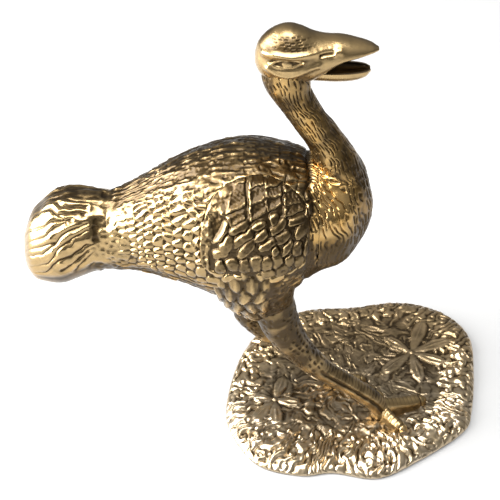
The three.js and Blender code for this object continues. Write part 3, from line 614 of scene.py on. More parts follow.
# %% Coverts
SQUARE_COVERTS = np.array([
    # lower rear corner x, z, then the step along it and the step up it
    [-37.4, 86.4, 5.1, 1.0, -0.2, 1.4], [-36.4, 81.6, 4.3, 1.9, -0.7, 4.7],
    [-35.8, 79.2, 4.0, 1.4, -0.6, 1.8], [-31.5, 86.4, 3.6, 0.5, 0.0, 1.5],
    [-31.3, 83.5, 3.9, 1.0, -0.2, 2.6], [-31.1, 80.4, 3.7, 1.6, -0.2, 3.0],
    [-27.7, 84.6, 3.8, 0.2, 0.0, 1.2], [-27.0, 82.0, 3.2, 1.2, -0.9, 2.3],
    [-27.7, 86.2, 4.0, 0.2, -0.2, 1.2], [-23.2, 85.2, 5.0, 0.0, -0.2, 1.3],
    [-23.2, 82.9, 4.0, -0.2, -0.2, 1.4], [-23.2, 80.6, 4.5, 0.8, 0.0, 1.8],
    [-27.2, 87.7, 3.8, 0.1, -0.2, 1.1], [-22.0, 86.7, 3.8, 0.0, -0.2, 1.5],
    [-31.1, 88.2, 3.7, 0.2, 0.0, 1.0], [-36.5, 88.4, 4.6, 0.8, -0.2, 1.3],
])
PILLOW_COVERTS = np.array([
    [-21.8, 78.3, 3.8, 0.5, -0.5, 1.8], [-30.2, 78.1, 2.7, 1.1, -0.5, 1.5],
    [-26.2, 79.1, 2.0, 1.0, -0.5, 1.9], [-25.8, 76.5, 3.0, 2.1, -0.4, 2.3],
    [-35.5, 77.0, 4.2, 2.3, -0.5, 1.6], [-39.8, 74.5, 3.6, 3.1, -0.4, 2.6],
    [-37.7, 71.8, 3.1, 3.2, -1.1, 2.4], [-34.6, 73.9, 4.4, 3.3, -0.7, 2.0],
    [-29.7, 75.2, 3.0, 1.9, -0.7, 1.7], [-24.3, 74.2, 2.8, 2.0, -1.0, 1.8],
    [-20.1, 74.4, 3.1, 2.5, -0.7, 2.8], [-33.5, 71.0, 3.8, 3.5, -0.7, 2.4],
    [-28.3, 72.8, 3.5, 2.1, -0.9, 1.6], [-25.9, 71.5, 1.6, 0.7, -0.3, 2.0],
    [-23.3, 71.1, 2.3, 2.4, -0.5, 1.9], [-18.5, 70.0, 2.2, -0.8, 0.5, 5.2],
    [-39.6, 70.6, 3.4, 1.6, -0.4, 1.9], [-39.0, 66.4, 2.2, 0.7, -0.6, 3.3],
    [-36.3, 67.5, 2.8, 0.6, -0.6, 3.2], [-33.5, 67.1, 2.6, 0.7, -0.4, 3.3],
    [-30.8, 67.8, 2.6, 0.2, -0.2, 3.8], [-28.0, 67.5, 2.4, 0.7, -0.5, 3.4],
    [-25.4, 67.9, 2.3, 1.1, -0.7, 3.3], [-28.0, 65.3, 3.1, 0.6, -0.5, 2.4],
    [-24.8, 64.3, 3.5, 1.9, -0.8, 3.3], [-20.7, 70.5, 2.1, 0.7, -0.6, 3.1],
    [-22.6, 67.6, 2.2, 1.0, -0.4, 2.8], [-20.2, 66.6, 2.4, 0.9, -0.4, 3.4],
    [-17.8, 74.6, 2.0, 0.6, 0.0, 3.6], [-18.2, 79.6, 2.4, 0.4, 0.0, 2.2], [-18.0, 82.6, 2.2, 0.2, 0.0, 1.8],
])


def covert_place(x, z, covert):
    """How far along and up a slanted covert a point lies, both 0 to 1 inside it, and its two sizes."""
    corner_x, corner_z, ahead_x, ahead_z, up_x, up_z = covert
    area = ahead_x * up_z - ahead_z * up_x
    u = ((x - corner_x) * up_z - (z - corner_z) * up_x) / area
    v = ((z - corner_z) * ahead_x - (x - corner_x) * ahead_z) / area
    return u, v, np.hypot(ahead_x, ahead_z), np.hypot(up_x, up_z)


def coverts(x, z):
    """The height of the highest covert at each point, and how dark the patina's film is there."""
    height, film_and_painted_light = np.full(x.shape, -0.15), np.full(x.shape, 0.85)
    for covert in SQUARE_COVERTS:
        u, v, wide, tall = covert_place(x, z, covert)
        inset = np.minimum(np.minimum(u, 1 - u) * wide, np.minimum(v, 1 - v) * tall) + 0.15
        border = np.maximum(bell(u * wide - 0.35, 0.55), bell(v * tall - 0.35, 0.55))
        hatch = np.sin(2 * np.pi * (u * wide + v * tall) / 0.9)
        lift = ease(-0.25, 0.35, inset) * (0.3 + 0.4 * border + 0.03 * hatch) - 0.15
        film_and_painted_light = np.where((lift > height) & (inset > -0.1), 0.95 - 0.5 * border, film_and_painted_light)
        height = np.maximum(height, lift)
    for covert in PILLOW_COVERTS:
        u, v, wide, tall = covert_place(x, z, covert)
        round_off = np.abs((2 * u - 1) / 1.16) ** 2.8 + np.abs((2 * v - 1) / 1.22) ** 2.8
        lift = 0.95 * np.sqrt(np.clip(1.1 - round_off, 0, 1)) - 0.15
        film_and_painted_light = np.where((lift > height) & (round_off < 1.1), 0.38, film_and_painted_light)
        height = np.maximum(height, lift)
    return height, film_and_painted_light


print("coverts:", len(SQUARE_COVERTS), "square and", len(PILLOW_COVERTS), "pillows")

# %% [markdown]
# Above the coverts the shoulder is pecked with a point. Down the rear edge run a lumpy border and two
# folds. The relief is a rule of a point's place in the side view, so the body round the wings can follow it
# too.

# %% Wing relief
WING_LONG, WING_TALL = 26.0, 21.0


def wing_relief(x, z, from_rear):
    """Coverts, a pecked shoulder above them, and folds that sweep down the rear edge."""
    bend_x = x + 0.3 * noise(x / 1.4, z / 1.4, seed=4)
    bend_z = z + 0.25 * noise(x / 1.4, z / 1.4, seed=5)
    height, film_and_painted_light = coverts(bend_x, bend_z)
    shoulder = ease(88.5, 90.5, z + 0.4 * noise(x / 2, z, seed=7))
    pecks = noise(x / 1.3, z / 0.6, seed=9) + 0.7 * noise(x / 0.7, z / 0.35, seed=10)
    low = 1 - ease(73, 79, z)
    folds = low * (bell(from_rear - 1.2, 0.7) + bell(from_rear - 3.3, 0.6))
    border = 1 - ease(3.4 + 2.2 * (1 - low), 4.6 + 2.2 * (1 - low), from_rear)
    lumps = noise(x / 1.7, z / 1.7, seed=11) + 0.5 * noise(x / 0.8, z / 0.8, seed=12)
    height = height * (1 - border) * (1 - 0.8 * shoulder) + 0.28 * shoulder * pecks
    height += 0.3 * folds + 0.35 * border * lumps
    strip = 0.5 * bell(from_rear - 5.0, 1.2) * (1 - low) + 0.2
    film_and_painted_light = blend(blend(film_and_painted_light, 0.5, shoulder), strip, border)
    return height + 0.06 * noise(x / 0.5, z / 0.5, seed=8), film_and_painted_light


wing_x, wing_z = np.moveaxis(wing_places(WING_ROWS, WING_COLUMNS), -1, 0)
from_rear = np.linspace(0, WING_LONG, WING_COLUMNS)[None, :]
from_top = np.linspace(WING_TALL, 0, WING_ROWS)[:, None]
wing_height, wing_film = wing_relief(wing_x, wing_z, from_rear)
round_top = 0.5 * (1 - ease(0, 0.6, np.minimum(from_top, from_rear[:, ::-1])))
round_foot = 0.45 * (1 - ease(0, 0.9, np.minimum(from_top[::-1], from_rear)))
wing_lift = WING_RAISE + wing_height - round_top - round_foot
wing_dark = patina(wing_height, 0.24, wing_film + 0.1)
# More stain over the front of the upper wing: painted shade.
wing_dark += 0.16 * ease(7, 10, from_rear) * (1 - ease(12, 15, from_top))
print("wing relief from", wing_height.min().round(2), "to", wing_height.max().round(2), "mm")

# %% [markdown]
# A wing's outer face carries the relief and its inner face lies on the seat in the body. The left wing
# can't be seen in the photo. It mirrors the right one, with a calmer top, because there it draws the back's
# outline.

# %% Wing pieces
SEAT_GAP = 0.02


def wing_piece(name, side, calm):
    """The outer face over the relief and the inner face on the wing's seat, joined round the rim.

    Near the top, the relief is lowered by the share calm."""
    lift = wing_lift - calm * ease(80, 84, wing_z) * wing_height
    outer = MEDIAN_Y + side * trunk_reach(wing_x, wing_z, lift)
    inner = MEDIAN_Y + side * trunk_reach(wing_x, wing_z, WING_RAISE - WING_THICKNESS - SEAT_GAP)
    faces = [np.stack([wing_x, y, wing_z], axis=-1) for y in (outer, inner)]
    make_piece(name, [name], [slab(*faces, wing_dark)], feather_brass)


wing_piece("right_wing", -1, calm=0)
wing_piece("left_wing", 1, calm=0.8)

# %% [markdown]
# ## The body halves
# Small shingled feathers run from the wings to the tail, finer strokes lie along the back, and a hair-like
# cut covers the belly. The breast is bare, with short cuts down it. Its cuts, swell, patina and painted
# highlight are rules of a place in space and not of the grid, so the body and the neck, which share the
# breast, agree at their joint.

# %% Body relief
BREAST_AXIS_X, BREAST_SWELL = -26.0, 1.7


def tail_end(x):
    """1 at the rear of the body, where it meets the tail, falling to 0 further forward."""
    return 1 - ease(REAR_X + 2, REAR_X + 11, x)


def body_relief(x, turn):
    """Feather rows counted along the body and round it. turn is 0 on the back line and 1 under the belly."""
    pitch = 2.4 + 0.5 * ease(-50, -40, x[:, :1])
    along = np.cumsum(np.abs(np.gradient(x[:, :1], axis=0)) / pitch, axis=0)
    along = along + 0.35 * noise(x / 3.5, 13 * turn, seed=20)
    across = 20 * turn + 0.35 * noise(x / 3.5, 13 * turn, seed=22)
    height = scales(along, across, reach=1.2, half=0.52, round_from=0.2, seed=21)[0]
    back, belly = 1 - ease(0.12, 0.25, turn), ease(0.58, 0.7, turn)
    feathers = 1.05 * height * (1 - 0.93 * back) * (1 - 0.9 * belly) * (1 - 0.8 * tail_end(x))
    streaks = noise(x / 5, 50 * turn, seed=31) + 0.8 * noise(x / 2.2, 95 * turn, seed=32)
    hair = noise(x / 4.5 + 7 * turn, 46 * turn, seed=33) + 0.7 * noise(x / 2.5 + 4 * turn, 80 * turn, seed=34)
    crinkle = noise(x / 0.7, 70 * turn, seed=35) * (1 - np.clip(1.6 * height, 0, 1)) * (1 - tail_end(x))
    return feathers + 0.2 * back * streaks + 0.26 * belly * hair + 0.25 * crinkle


def joint_lumps(points):
    """Uneven lumps where body and tail were chased over together: noise of a place, so both pieces agree."""
    x, y, z = np.moveaxis(points, -1, 0)
    side = np.abs(y - MEDIAN_Y)
    return noise(x / 2.3, side / 1.9, z / 1.9, seed=36) + 0.6 * noise(x / 1.1, side / 0.9, z / 0.9, seed=37)


def breast_cuts(points):
    """Cuts down the breast, laid out by height and by bearing round it, so that body and neck agree."""
    x, y, z = np.moveaxis(points, -1, 0)
    side = np.abs(y - MEDIAN_Y)
    stray = 0.8 * noise(x / 4, side / 4, z / 4, seed=39) + 0.4 * noise(x / 1.7, side / 1.7, z / 1.7, seed=40)
    bearing = np.arctan2(side, x - BREAST_AXIS_X)
    return strokes(z / 2.8 + 0.6 * stray, 17 * bearing + stray, 0.8, 0.17, 0.85, seed=63)


def breast_swell(points):
    """The breast rounds up out of the crease at the wing and falls away again to the front and below."""
    x, z = points[..., 0], points[..., 2]
    return between(FRONT_X - 2.6, -9.5, -9.5, -3, x) * between(57, 66, 77, 84, z)


def breast_film_and_highlight(points):
    """Film on the breast: lightened beside the wing as a painted highlight, darker low down."""
    x, z = points[..., 0], points[..., 2]
    rubbed_and_highlit = (1 - ease(-10, -4, x)) * between(72, 76, 84, 89, z)
    return 0.12 + 0.62 * (1 - ease(69, 75, z)) - 0.8 * rubbed_and_highlit


print("breast swells by", BREAST_SWELL, "mm")

# %% [markdown]
# Each half is the trunk's skin from the top line to the bottom line. The wing's seat is sunk into it, and
# the coverts run on over the seat's border at the top and front. A crease then parts the feathers from the
# breast.

# %% Body surface
BODY_ROWS, BODY_COLUMNS = 264, 238
OUTLINE_STEPS = 400
SEAT_DEPTH, PAST_BORDER = 1.2, 20.0


def inside_wing(x, z):
    """Distance in from the wing's outline, measured along the line from the wing's middle."""
    heart = on_body(WING_OUTLINE).mean(axis=0)
    loop = wing_edge(np.linspace(0, len(WING_OUTLINE), OUTLINE_STEPS)) - heart
    bearing = np.arctan2(loop[:, 1], loop[:, 0])
    order = np.argsort(bearing)
    edge = np.hypot(*loop.T)
    ahead, up = x - heart[0], z - heart[1]
    return np.interp(np.arctan2(up, ahead), bearing[order], edge[order]) - np.hypot(ahead, up)


body_x = np.linspace(FRONT_X, REAR_X, BODY_ROWS)
body_turn = np.linspace(0, 1, BODY_COLUMNS)[None, :]
body_skin = loft(trunk_ribs, trunk_share(body_x), np.pi * body_turn[0])
skin_x, skin_z = body_skin[..., 0], body_skin[..., 2]
inside = inside_wing(skin_x, skin_z)
wing_seat = ease(0.2, 0.8, inside)
shoulder_height, shoulder_film = wing_relief(skin_x, skin_z, PAST_BORDER)
above, before = ease(82, 86, skin_z), ease(-24, -21, skin_x)
near_wing = np.maximum(above, before) * ease(-5, -1, inside) * ease(0.16, 0.24, body_turn)
body_height = blend(body_relief(skin_x, body_turn), WING_RAISE + shoulder_height, near_wing)
body_height = body_height * ease(REAR_X, REAR_X + 3, skin_x) * (1 - wing_seat) - SEAT_DEPTH * wing_seat
body_height = body_height + 0.3 * tail_end(skin_x) * joint_lumps(body_skin)
from_crease = body_x[:, None] - FRONT_X + 2.2 - 0.5 * noise(14 * body_turn, 0, seed=38)
crease, on_breast = bell(from_crease, 0.7), ease(0, 0.8, from_crease)
cuts = on_breast * breast_cuts(body_skin)
body_height = body_height * (1 - on_breast) - 0.4 * cuts + BREAST_SWELL * breast_swell(body_skin)
# Heavier film along the back and under the belly is painted shade; on the breast the film holds a painted
# highlight.
body_film_and_painted_light = 0.14 + 0.48 * (1 - ease(0.12, 0.24, body_turn)) + 0.62 * ease(0.58, 0.76, body_turn)
body_film_and_painted_light = blend(blend(body_film_and_painted_light, shoulder_film, near_wing), breast_film_and_highlight(body_skin), on_breast)
# Less stain on the rump, which faces the left lamp: a painted highlight.
rump_highlight = (1 - ease(-48, -42, skin_x)) * between(0.2, 0.26, 0.44, 0.56, body_turn)
body_dark = patina(body_height, 0.22, body_film_and_painted_light) * (1 - 0.5 * rump_highlight) + 0.9 * crease + 0.9 * cuts
# Warmer on the bare breast, its own tone, and under the belly, a painted reflection of the floor.
skin_tone_and_painted_bounce = np.maximum(on_breast, 0.8 * ease(0.54, 0.68, body_turn))
body_shape = raised(body_skin, body_height - 0.7 * crease, closed=False)
body_shape[:, [0, -1], 1] = MEDIAN_Y
print("body relief from", body_height.min().round(2), "to", body_height.max().round(2), "mm")

# %% [markdown]
# The thigh hangs from the body's side, so it belongs to the same casting. It is a short tapering tube with
# long overlapping tufts that point down to the leg. A flat face on the median plane closes each half, and
# the left half is the right one mirrored, so the two meet without a step.

# %% Thighs
THIGH_LENGTH, THIGH_WIDTH = 22.0, 16.0
THIGH_TOP, THIGH_BOTTOM = 67.5, 44.5
THIGH_ROWS, THIGH_COLUMNS = 130, 210
THIGH = np.array([
    # up, back, front, half width, way out from the hip
    [1, -0.718, 0.173, 0.344, 0.406],
    [0.87, -0.768, 0.218, 0.444, 0.381],
    [0.63, -0.764, 0.232, 0.5, 0.312],
    [0.37, -0.673, 0.209, 0.475, 0.2],
    [0.15, -0.573, 0.2, 0.375, 0.075],
    [0, -0.46, 0.15, 0.28, 0],
])
RIGHT_HIP, LEFT_HIP = (-24.4, -5.0), (-33.6, 5.0)


def thigh_shell(hip):
    """Level ribs from inside the trunk down to the leg, with long tufts pointing down and a pecked front."""
    z = THIGH_BOTTOM + THIGH[:, 0] * (THIGH_TOP - THIGH_BOTTOM)
    back, front = (np.column_stack([hip[0] + THIGH[:, k] * THIGH_LENGTH, z]) for k in (1, 2))
    y = MEDIAN_Y + hip[1] + np.sign(hip[1]) * THIGH[:, 4] * THIGH_WIDTH
    ribs = ribs_between(back, front, THIGH[:, 3] * THIGH_WIDTH, y)
    angles = full_turn(THIGH_COLUMNS)
    skin = loft(ribs, np.linspace(0, 1, THIGH_ROWS), angles)
    turn = angles[None, :] / (2 * np.pi)
    drop = THIGH_TOP - skin[..., 2]
    wander = 0.3 * noise(drop / 4, 12 * turn, seed=43)
    height, aside, inset, own = scales(
        drop / 5.2 + wander, 17 * turn + wander, reach=1.5, half=0.52, round_from=0.45, seed=41
    )
    bare = ease(hip[0] - 4, hip[0] - 1, skin[..., 0])
    barbs = np.sin(2 * np.pi * (3 * aside + own)) * ease(0.2, 0.6, inset)
    pecks = strokes(drop / 2.1 + wander, 26 * turn + wander, 0.5, 0.2, 0.75, seed=45)
    relief = (1.35 * height + 0.06 * barbs) * (1 - bare) - 0.26 * bare * pecks
    relief += 0.1 * noise(skin[..., 0], drop, seed=42)
    relief *= ease(0.0, 0.04, np.linspace(1, 0, THIGH_ROWS))[:, None]
    dark = patina(relief, 0.24, 0.5 + 0.08 * bare) + 0.5 * bare * pecks
    return shell(raised(skin, relief), dark, skin=bare)


# %% Body pieces
def body_piece(name, side, hip):
    """One half of the trunk and its thigh. The right half is as worked out, the left one mirrored."""
    points = body_shape.copy()
    points[..., 1] = MEDIAN_Y - side * (points[..., 1] - MEDIAN_Y)
    edges = [0, BODY_COLUMNS - 1]
    trunk = shell(points, body_dark, edges, skin_tone_and_painted_bounce)
    make_piece(name, [name], [trunk, thigh_shell(hip)], feather_brass)


body_piece("right_body_shell", -1, RIGHT_HIP)
body_piece("left_body_shell", 1, LEFT_HIP)

# %% [markdown]
# ## The tail
# A bundle of broad plumes fans out behind a narrow collar and droops. Grooves part the plumes. They are
# drawn one by one where the photo shows them, and the metal swells up between two of them. Noise that is
# stretched along the plumes gives the barbs.

# %% Tail sections and grooves
TAIL_LENGTH, TAIL_HEIGHT, TAIL_WIDTH = 22.6, 26.2, 20.8
TAIL_FACE, TAIL_Z = REAR_X + 0.1, 65.82
TAIL_ROWS, TAIL_COLUMNS = 200, 340
GROOVE_STEPS, NO_GROOVE = 80, 9.0
TAIL = np.array([
    # along, top, bottom, half width
    [0, 0.397, -0.397, 0.424],
    [0.18, 0.436, -0.435, 0.44],
    [0.41, 0.447, -0.52, 0.486],
    [0.53, 0.43, -0.568, 0.5],
    [0.64, 0.39, -0.583, 0.49],
    [0.76, 0.305, -0.576, 0.452],
    [0.88, 0.2, -0.55, 0.389],
    [0.97, 0.01, -0.466, 0.24],
    [1, -0.12, -0.33, 0.1],
])
# Grooves between the plumes, each through places (share of the tail's length, share of a turn from its top).
GROOVES = [
    [(0.07, 0.056), (0.288, 0.049), (0.487, 0.029), (0.62, 0.032), (0.829, 0.032)],
    [(0.216, 0.084), (0.343, 0.086), (0.452, 0.074), (0.535, 0.052)],
    [(0.447, 0.117), (0.514, 0.099), (0.623, 0.062), (0.735, 0.051), (0.853, 0.04)],
    [(0.235, 0.107), (0.385, 0.099), (0.514, 0.095)],
    [(0.382, 0.12), (0.535, 0.121), (0.696, 0.118), (0.93, 0.1)],
    [(0.426, 0.128), (0.535, 0.143), (0.663, 0.156), (0.92, 0.152)],
    [(0.203, 0.141), (0.321, 0.157), (0.451, 0.172), (0.566, 0.196), (0.675, 0.209), (0.9, 0.218)],
    [(0.194, 0.17), (0.281, 0.183), (0.413, 0.198), (0.54, 0.217), (0.635, 0.253), (0.88, 0.27)],
    [(0.05, 0.212), (0.183, 0.222), (0.294, 0.232), (0.43, 0.251),
     (0.544, 0.258), (0.675, 0.286), (0.83, 0.299)],
    [(0.02, 0.234), (0.17, 0.243), (0.258, 0.257), (0.377, 0.278), (0.522, 0.3)],
    [(0.01, 0.243), (0.129, 0.254), (0.248, 0.281), (0.371, 0.316)],
    [(0.01, 0.257), (0.119, 0.289), (0.222, 0.326)],
    [(0.55, 0.19), (0.7, 0.186), (0.93, 0.19)],
    [(0.35, 0.02), (0.6, 0.012), (0.8, 0.014)],
]
print("grooves between plumes:", len(GROOVES))

# %% Tail piece
def beside_grooves(run, turn, girth):
    """Distance in millimetres from the nearest groove. Along each, the turn is read between its places."""
    nearest = np.full(run.shape, NO_GROOVE)
    for groove in GROOVES:
        places = np.array(groove)[:, 0]
        middle = curve(np.array(groove), np.linspace(0, 1, GROOVE_STEPS))
        slope = np.gradient(middle[:, 1], middle[:, 0])
        lean = np.hypot(1, np.interp(run, middle[:, 0], slope) * girth / TAIL_LENGTH)
        away = np.abs(turn - np.interp(run, middle[:, 0], middle[:, 1])) * girth / lean
        past = TAIL_LENGTH * np.maximum(np.maximum(places[0] - run, run - places[-1]), 0)
        nearest = np.minimum(nearest, np.hypot(away, past))
    return nearest


def tail_piece():
    """Upright ribs behind the body, a narrow collar, and plumes that swell up between grooves."""
    top, bottom = TAIL_Z + TAIL[:, 1:3].T * TAIL_HEIGHT
    ribs = standing_ribs(TAIL_FACE - TAIL[:, 0] * TAIL_LENGTH, top, bottom, TAIL[:, 3] * TAIL_WIDTH)
    angles = full_turn(TAIL_COLUMNS)
    skin = loft(ribs, even_shares(ribs[0] + ribs[2], TAIL_ROWS), angles)
    run = np.clip((TAIL_FACE - skin[..., 0]) / TAIL_LENGTH, 0, 1)
    turn = np.minimum(angles, 2 * np.pi - angles)[None, :] / (2 * np.pi) + 0 * run
    girth = np.sum(np.linalg.norm(skin - np.roll(skin, 1, axis=1), axis=-1), axis=1)[:, None]
    bent = turn + 0.006 * noise(7 * run, 24 * turn, seed=50) + 0.003 * noise(18 * run, 60 * turn, seed=51)
    away = beside_grooves(run, bent, girth)
    root, ends = 1 - ease(0.1, 0.24, run), ease(0.5, 0.7, run)
    swell = np.sqrt(np.clip(away / (1.2 - 0.5 * ends), 0, 1)) * (1 - root)
    top_band, under = 1 - ease(0.03, 0.06, turn), ease(0.3, 0.34, turn)
    barbs = noise(5 * run, 60 * bent, seed=52) + 0.7 * noise(9 * run, 120 * bent, seed=53)
    lumps = joint_lumps(skin)
    worn_and_highlit = ease(0.6, 0.85, run)
    relief = (0.75 - 0.2 * ends - 0.3 * worn_and_highlit) * swell * (1 - 0.7 * top_band) * (1 - 0.6 * under)
    relief += (0.05 + 0.12 * top_band) * barbs * (1 - under) * (1 - root)
    relief += (0.3 * root + 0.14 * (1 - root) * (1 - ends)) * lumps * (1 - under * (1 - root))
    block = between(0.1, 0.14, 0.2, 0.23, turn) * bell(run - 0.12, 0.06)
    relief -= 0.45 * block
    # The film is heavier along the top band, a painted shade, in the dark block and underneath.
    film_and_painted_light = 0.04 + 0.5 * top_band + 0.55 * block + 0.62 * under
    # Toward the rear the stain fades off the sides: a painted highlight.
    dark = patina(relief, 0.32, film_and_painted_light) * (1 - 0.5 * worn_and_highlit * (1 - top_band))
    points = raised(skin, relief - 0.5 * (1 - root))
    # The warmer underside is a painted reflection of the floor.
    plume = shell(points, dark, skin=0.8 * ease(0.27, 0.34, turn))
    make_piece("tail_plume", ["tail_plume"], [plume], feather_brass)


tail_piece()

# %% [markdown]
# ## The neck and breast
# The neck flows out of the breast in one casting. Its first rib is the whole front face of the body. The
# next ribs fan round the crease behind the neck's root, and then climb the neck. Short lengthwise cuts
# cover it.

# %% Neck
NECK_ROWS, NECK_COLUMNS, NECK_RUN = 300, 260, 75.0
NECK = np.array([
    # back x, back z, front x, front z, half width
    [-14.9, 87.0, -14.9, 54.9, 13.7],
    [-15.0, 87.1, -9.0, 58.9, 12.4],
    [-15.1, 87.2, -4.2, 63.2, 10.9],
    [-15.3, 87.3, -1.3, 69.0, 9.2],
    [-15.5, 87.5, -0.9, 75.2, 7.8],
    [-15.8, 87.8, -2.3, 81.6, 6.8],
    [-16.2, 88.3, -4.7, 87.0, 6.2],
    [-17.4, 91.0, -7.3, 91.0, 5.3],
    [-20.0, 95.0, -10.2, 95.0, 4.9],
    [-23.4, 100.3, -14.0, 100.3, 4.7],
    [-27.2, 105.5, -16.9, 105.5, 4.8],
    [-28.5, 109.0, -17.5, 109.0, 4.9],
    [-28.3, 112.0, -18.6, 112.0, 4.8],
])


def neck_piece():
    """Ribs that fan out of the body's front and climb to the skull, cut with lengthwise strokes."""
    ribs = ribs_between(NECK[:, 0:2], NECK[:, 2:4], NECK[:, 4])
    angles = full_turn(NECK_COLUMNS)
    shares = even_shares(NECK[:, 2:4], NECK_ROWS)
    skin = loft(ribs, shares, angles)
    run = np.linspace(0, NECK_RUN, NECK_ROWS)[:, None]
    turn = angles[None, :] / (2 * np.pi)
    wander = 0.8 * noise(run / 5, 6 * turn, seed=61) + 0.45 * noise(run / 2, 15 * turn, seed=65)
    on_neck = strokes(run / 3.0 + 0.7 * wander, 30 * turn + wander, 0.78, 0.13, 0.85, seed=62)
    above = ease(4.5, 6.5, shares[:, None] * (len(NECK) - 1))
    cuts = blend(breast_cuts(skin), on_neck, above)
    x, y, z = np.moveaxis(skin, -1, 0)
    lumps = noise(x / 4, y / 4, z / 4, seed=64)
    fine = noise(x / 0.9, y / 0.9, z / 0.9, seed=66)
    relief = -0.4 * cuts + 0.22 * lumps + 0.05 * fine + BREAST_SWELL * breast_swell(skin)
    # Darker at the neck's front and back edges, most at the back: painted shade where the neck turns away.
    edges, back_shade = (ease(0.2, 0.75, each)[None, :] for each in (np.abs(np.cos(angles)), np.cos(angles)))
    blots = ease(0.1, 0.5, noise(x / 3, y / 3, z / 5, seed=67))
    # The breast's base darkens towards the front: painted shade.
    low_film_and_painted_light = breast_film_and_highlight(skin) + 0.5 * ease(-14, -4, x)
    film_and_painted_light = blend(low_film_and_painted_light, 0.06 + 0.4 * edges + 0.25 * back_shade + 0.3 * blots, above)
    dark = film_and_painted_light + 0.9 * cuts - 0.3 * lumps - 0.15 * fine
    make_piece("neck", ["neck"], [shell(raised(skin, relief), dark)], skin_brass)


neck_piece()

# %% [markdown]
# ## The head
# The skull is smooth and narrows to a broad bill. Its ribs are split at their widest level, because the
# bill's edge is a sharp line low on its side and not halfway up. Brow, eye, nostril and cheek are bumps and
# grooves placed by shares of the head's length and height, the same on both sides.

# %% Head sections
NECK_TOP_X, NECK_TOP_Z = -23.45, 111.98
HEAD_LENGTH, HEAD_HEIGHT, HEAD_WIDTH = 27.0, 13.0, 11.2
HEAD_ROWS, HEAD_COLUMNS, LINE_STEPS = 260, 260, 120
HEAD = np.array([
    # along, top, bottom, widest level, half width
    [-0.24, 0.28, 0.04, 0.16, 0.107],
    [-0.207, 0.46, -0.108, 0.176, 0.268],
    [-0.133, 0.625, -0.246, 0.19, 0.41],
    [-0.04, 0.728, -0.308, 0.21, 0.482],
    [0.052, 0.752, -0.308, 0.222, 0.51],
    [0.144, 0.7, -0.27, 0.215, 0.49],
    [0.237, 0.61, -0.26, 0.2, 0.464],
    [0.348, 0.56, -0.1, 0.19, 0.4375],
    [0.478, 0.545, 0.13, 0.24, 0.4],
    [0.607, 0.48, 0.2, 0.28, 0.32],
    [0.71, 0.41, 0.25, 0.31, 0.215],
    [0.775, 0.335, 0.275, 0.305, 0.07],
])


def head_skin(shares, angles):
    """Ribs whose upper and lower halves have heights of their own about a shared widest level."""
    along, top, bottom, widest, half = (curve(HEAD, shares)[:, k, None] for k in range(5))
    cosine, sine = np.cos(angles)[None, :], np.sin(angles)[None, :]
    level = widest + np.where(cosine > 0, top - widest, widest - bottom) * cosine
    x = NECK_TOP_X + along * HEAD_LENGTH + 0 * sine
    return np.stack([x, MEDIAN_Y - half * HEAD_WIDTH * sine, NECK_TOP_Z + level * HEAD_HEIGHT], axis=-1)


print("head and bill are", round(np.ptp(HEAD[:, 0]) * HEAD_LENGTH, 1), "mm long")

# %% [markdown]
# The face is drawn by lines over the side of the skull. A point's distance from a line gives a ridge or a
# groove along it, by a bell curve. The eyeball is a round bump in a shallow socket between two lids.

# %% Face
def near_line(a, h, knots):
    """Distance in millimetres, seen from the side, from a line of (along, height) shares."""
    line = curve(np.array(knots), np.linspace(0, 1, LINE_STEPS))
    away_a = (a[..., None] - line[:, 0]) * HEAD_LENGTH
    away_h = (h[..., None] - line[:, 1]) * HEAD_HEIGHT
    return np.sqrt(np.min(away_a**2 + away_h**2, axis=-1))


BROW = [[-0.165, 0.36], [-0.06, 0.36], [0.04, 0.345], [0.15, 0.36], [0.256, 0.385], [0.36, 0.42]]
UPPER_LID = [[-0.125, 0.19], [-0.05, 0.26], [0.03, 0.285], [0.1, 0.265], [0.15, 0.235]]
LOWER_LID = [[-0.125, 0.19], [-0.06, 0.145], [0.01, 0.135], [0.08, 0.165], [0.15, 0.235]]
CHEEK = [[-0.14, 0.1], [-0.07, 0.01], [0.03, -0.03], [0.12, 0.03], [0.2, 0.12], [0.27, 0.17]]
NOSTRIL = [[0.29, 0.345], [0.325, 0.362], [0.36, 0.372], [0.39, 0.374]]
NOSE_BUMP = [[0.405, 0.375], [0.42, 0.385], [0.435, 0.392], [0.45, 0.395]]


def face_relief(a, h):
    """Brow and cheek ridges, an eyeball between two lids, a nostril slit with a bump before it."""
    brow, cheek = near_line(a, h, BROW), near_line(a, h, CHEEK)
    upper, lower = near_line(a, h, UPPER_LID), near_line(a, h, LOWER_LID)
    ball = np.hypot((a - 0.015) * HEAD_LENGTH / 1.25, (h - 0.207) * HEAD_HEIGHT / 0.95)
    relief = 0.75 * bell(brow, 0.75) * (1 - 0.8 * ease(0.16, 0.38, a)) + 0.42 * bell(cheek, 0.7)
    socket = np.hypot((a - 0.012) * HEAD_LENGTH / 3.9, (h - 0.205) * HEAD_HEIGHT / 1.6)
    relief -= 0.55 * (1 - ease(0.55, 1.15, socket))
    relief += 0.42 * bell(upper, 0.3) + 0.36 * bell(lower, 0.28)
    relief += 0.42 * np.sqrt(np.clip(1 - ball**2, 0, 1))
    relief -= 0.5 * bell(near_line(a, h, NOSTRIL), 0.38)
    return relief + 0.32 * bell(near_line(a, h, NOSE_BUMP), 0.65)


def crown_relief(a, h):
    """Depth and patina of a patch of fine cuts on each side of the crown."""
    patch = bell((a - 0.06) * HEAD_LENGTH, 3.6) * between(0.42, 0.46, 0.6, 0.68, h)
    cuts = strokes(a * HEAD_LENGTH / 1.3, h * HEAD_HEIGHT / 0.5, 0.7, 0.24, 0.85, seed=71)
    return 0.16 * patch * cuts, patch * (0.65 + 0.35 * cuts)


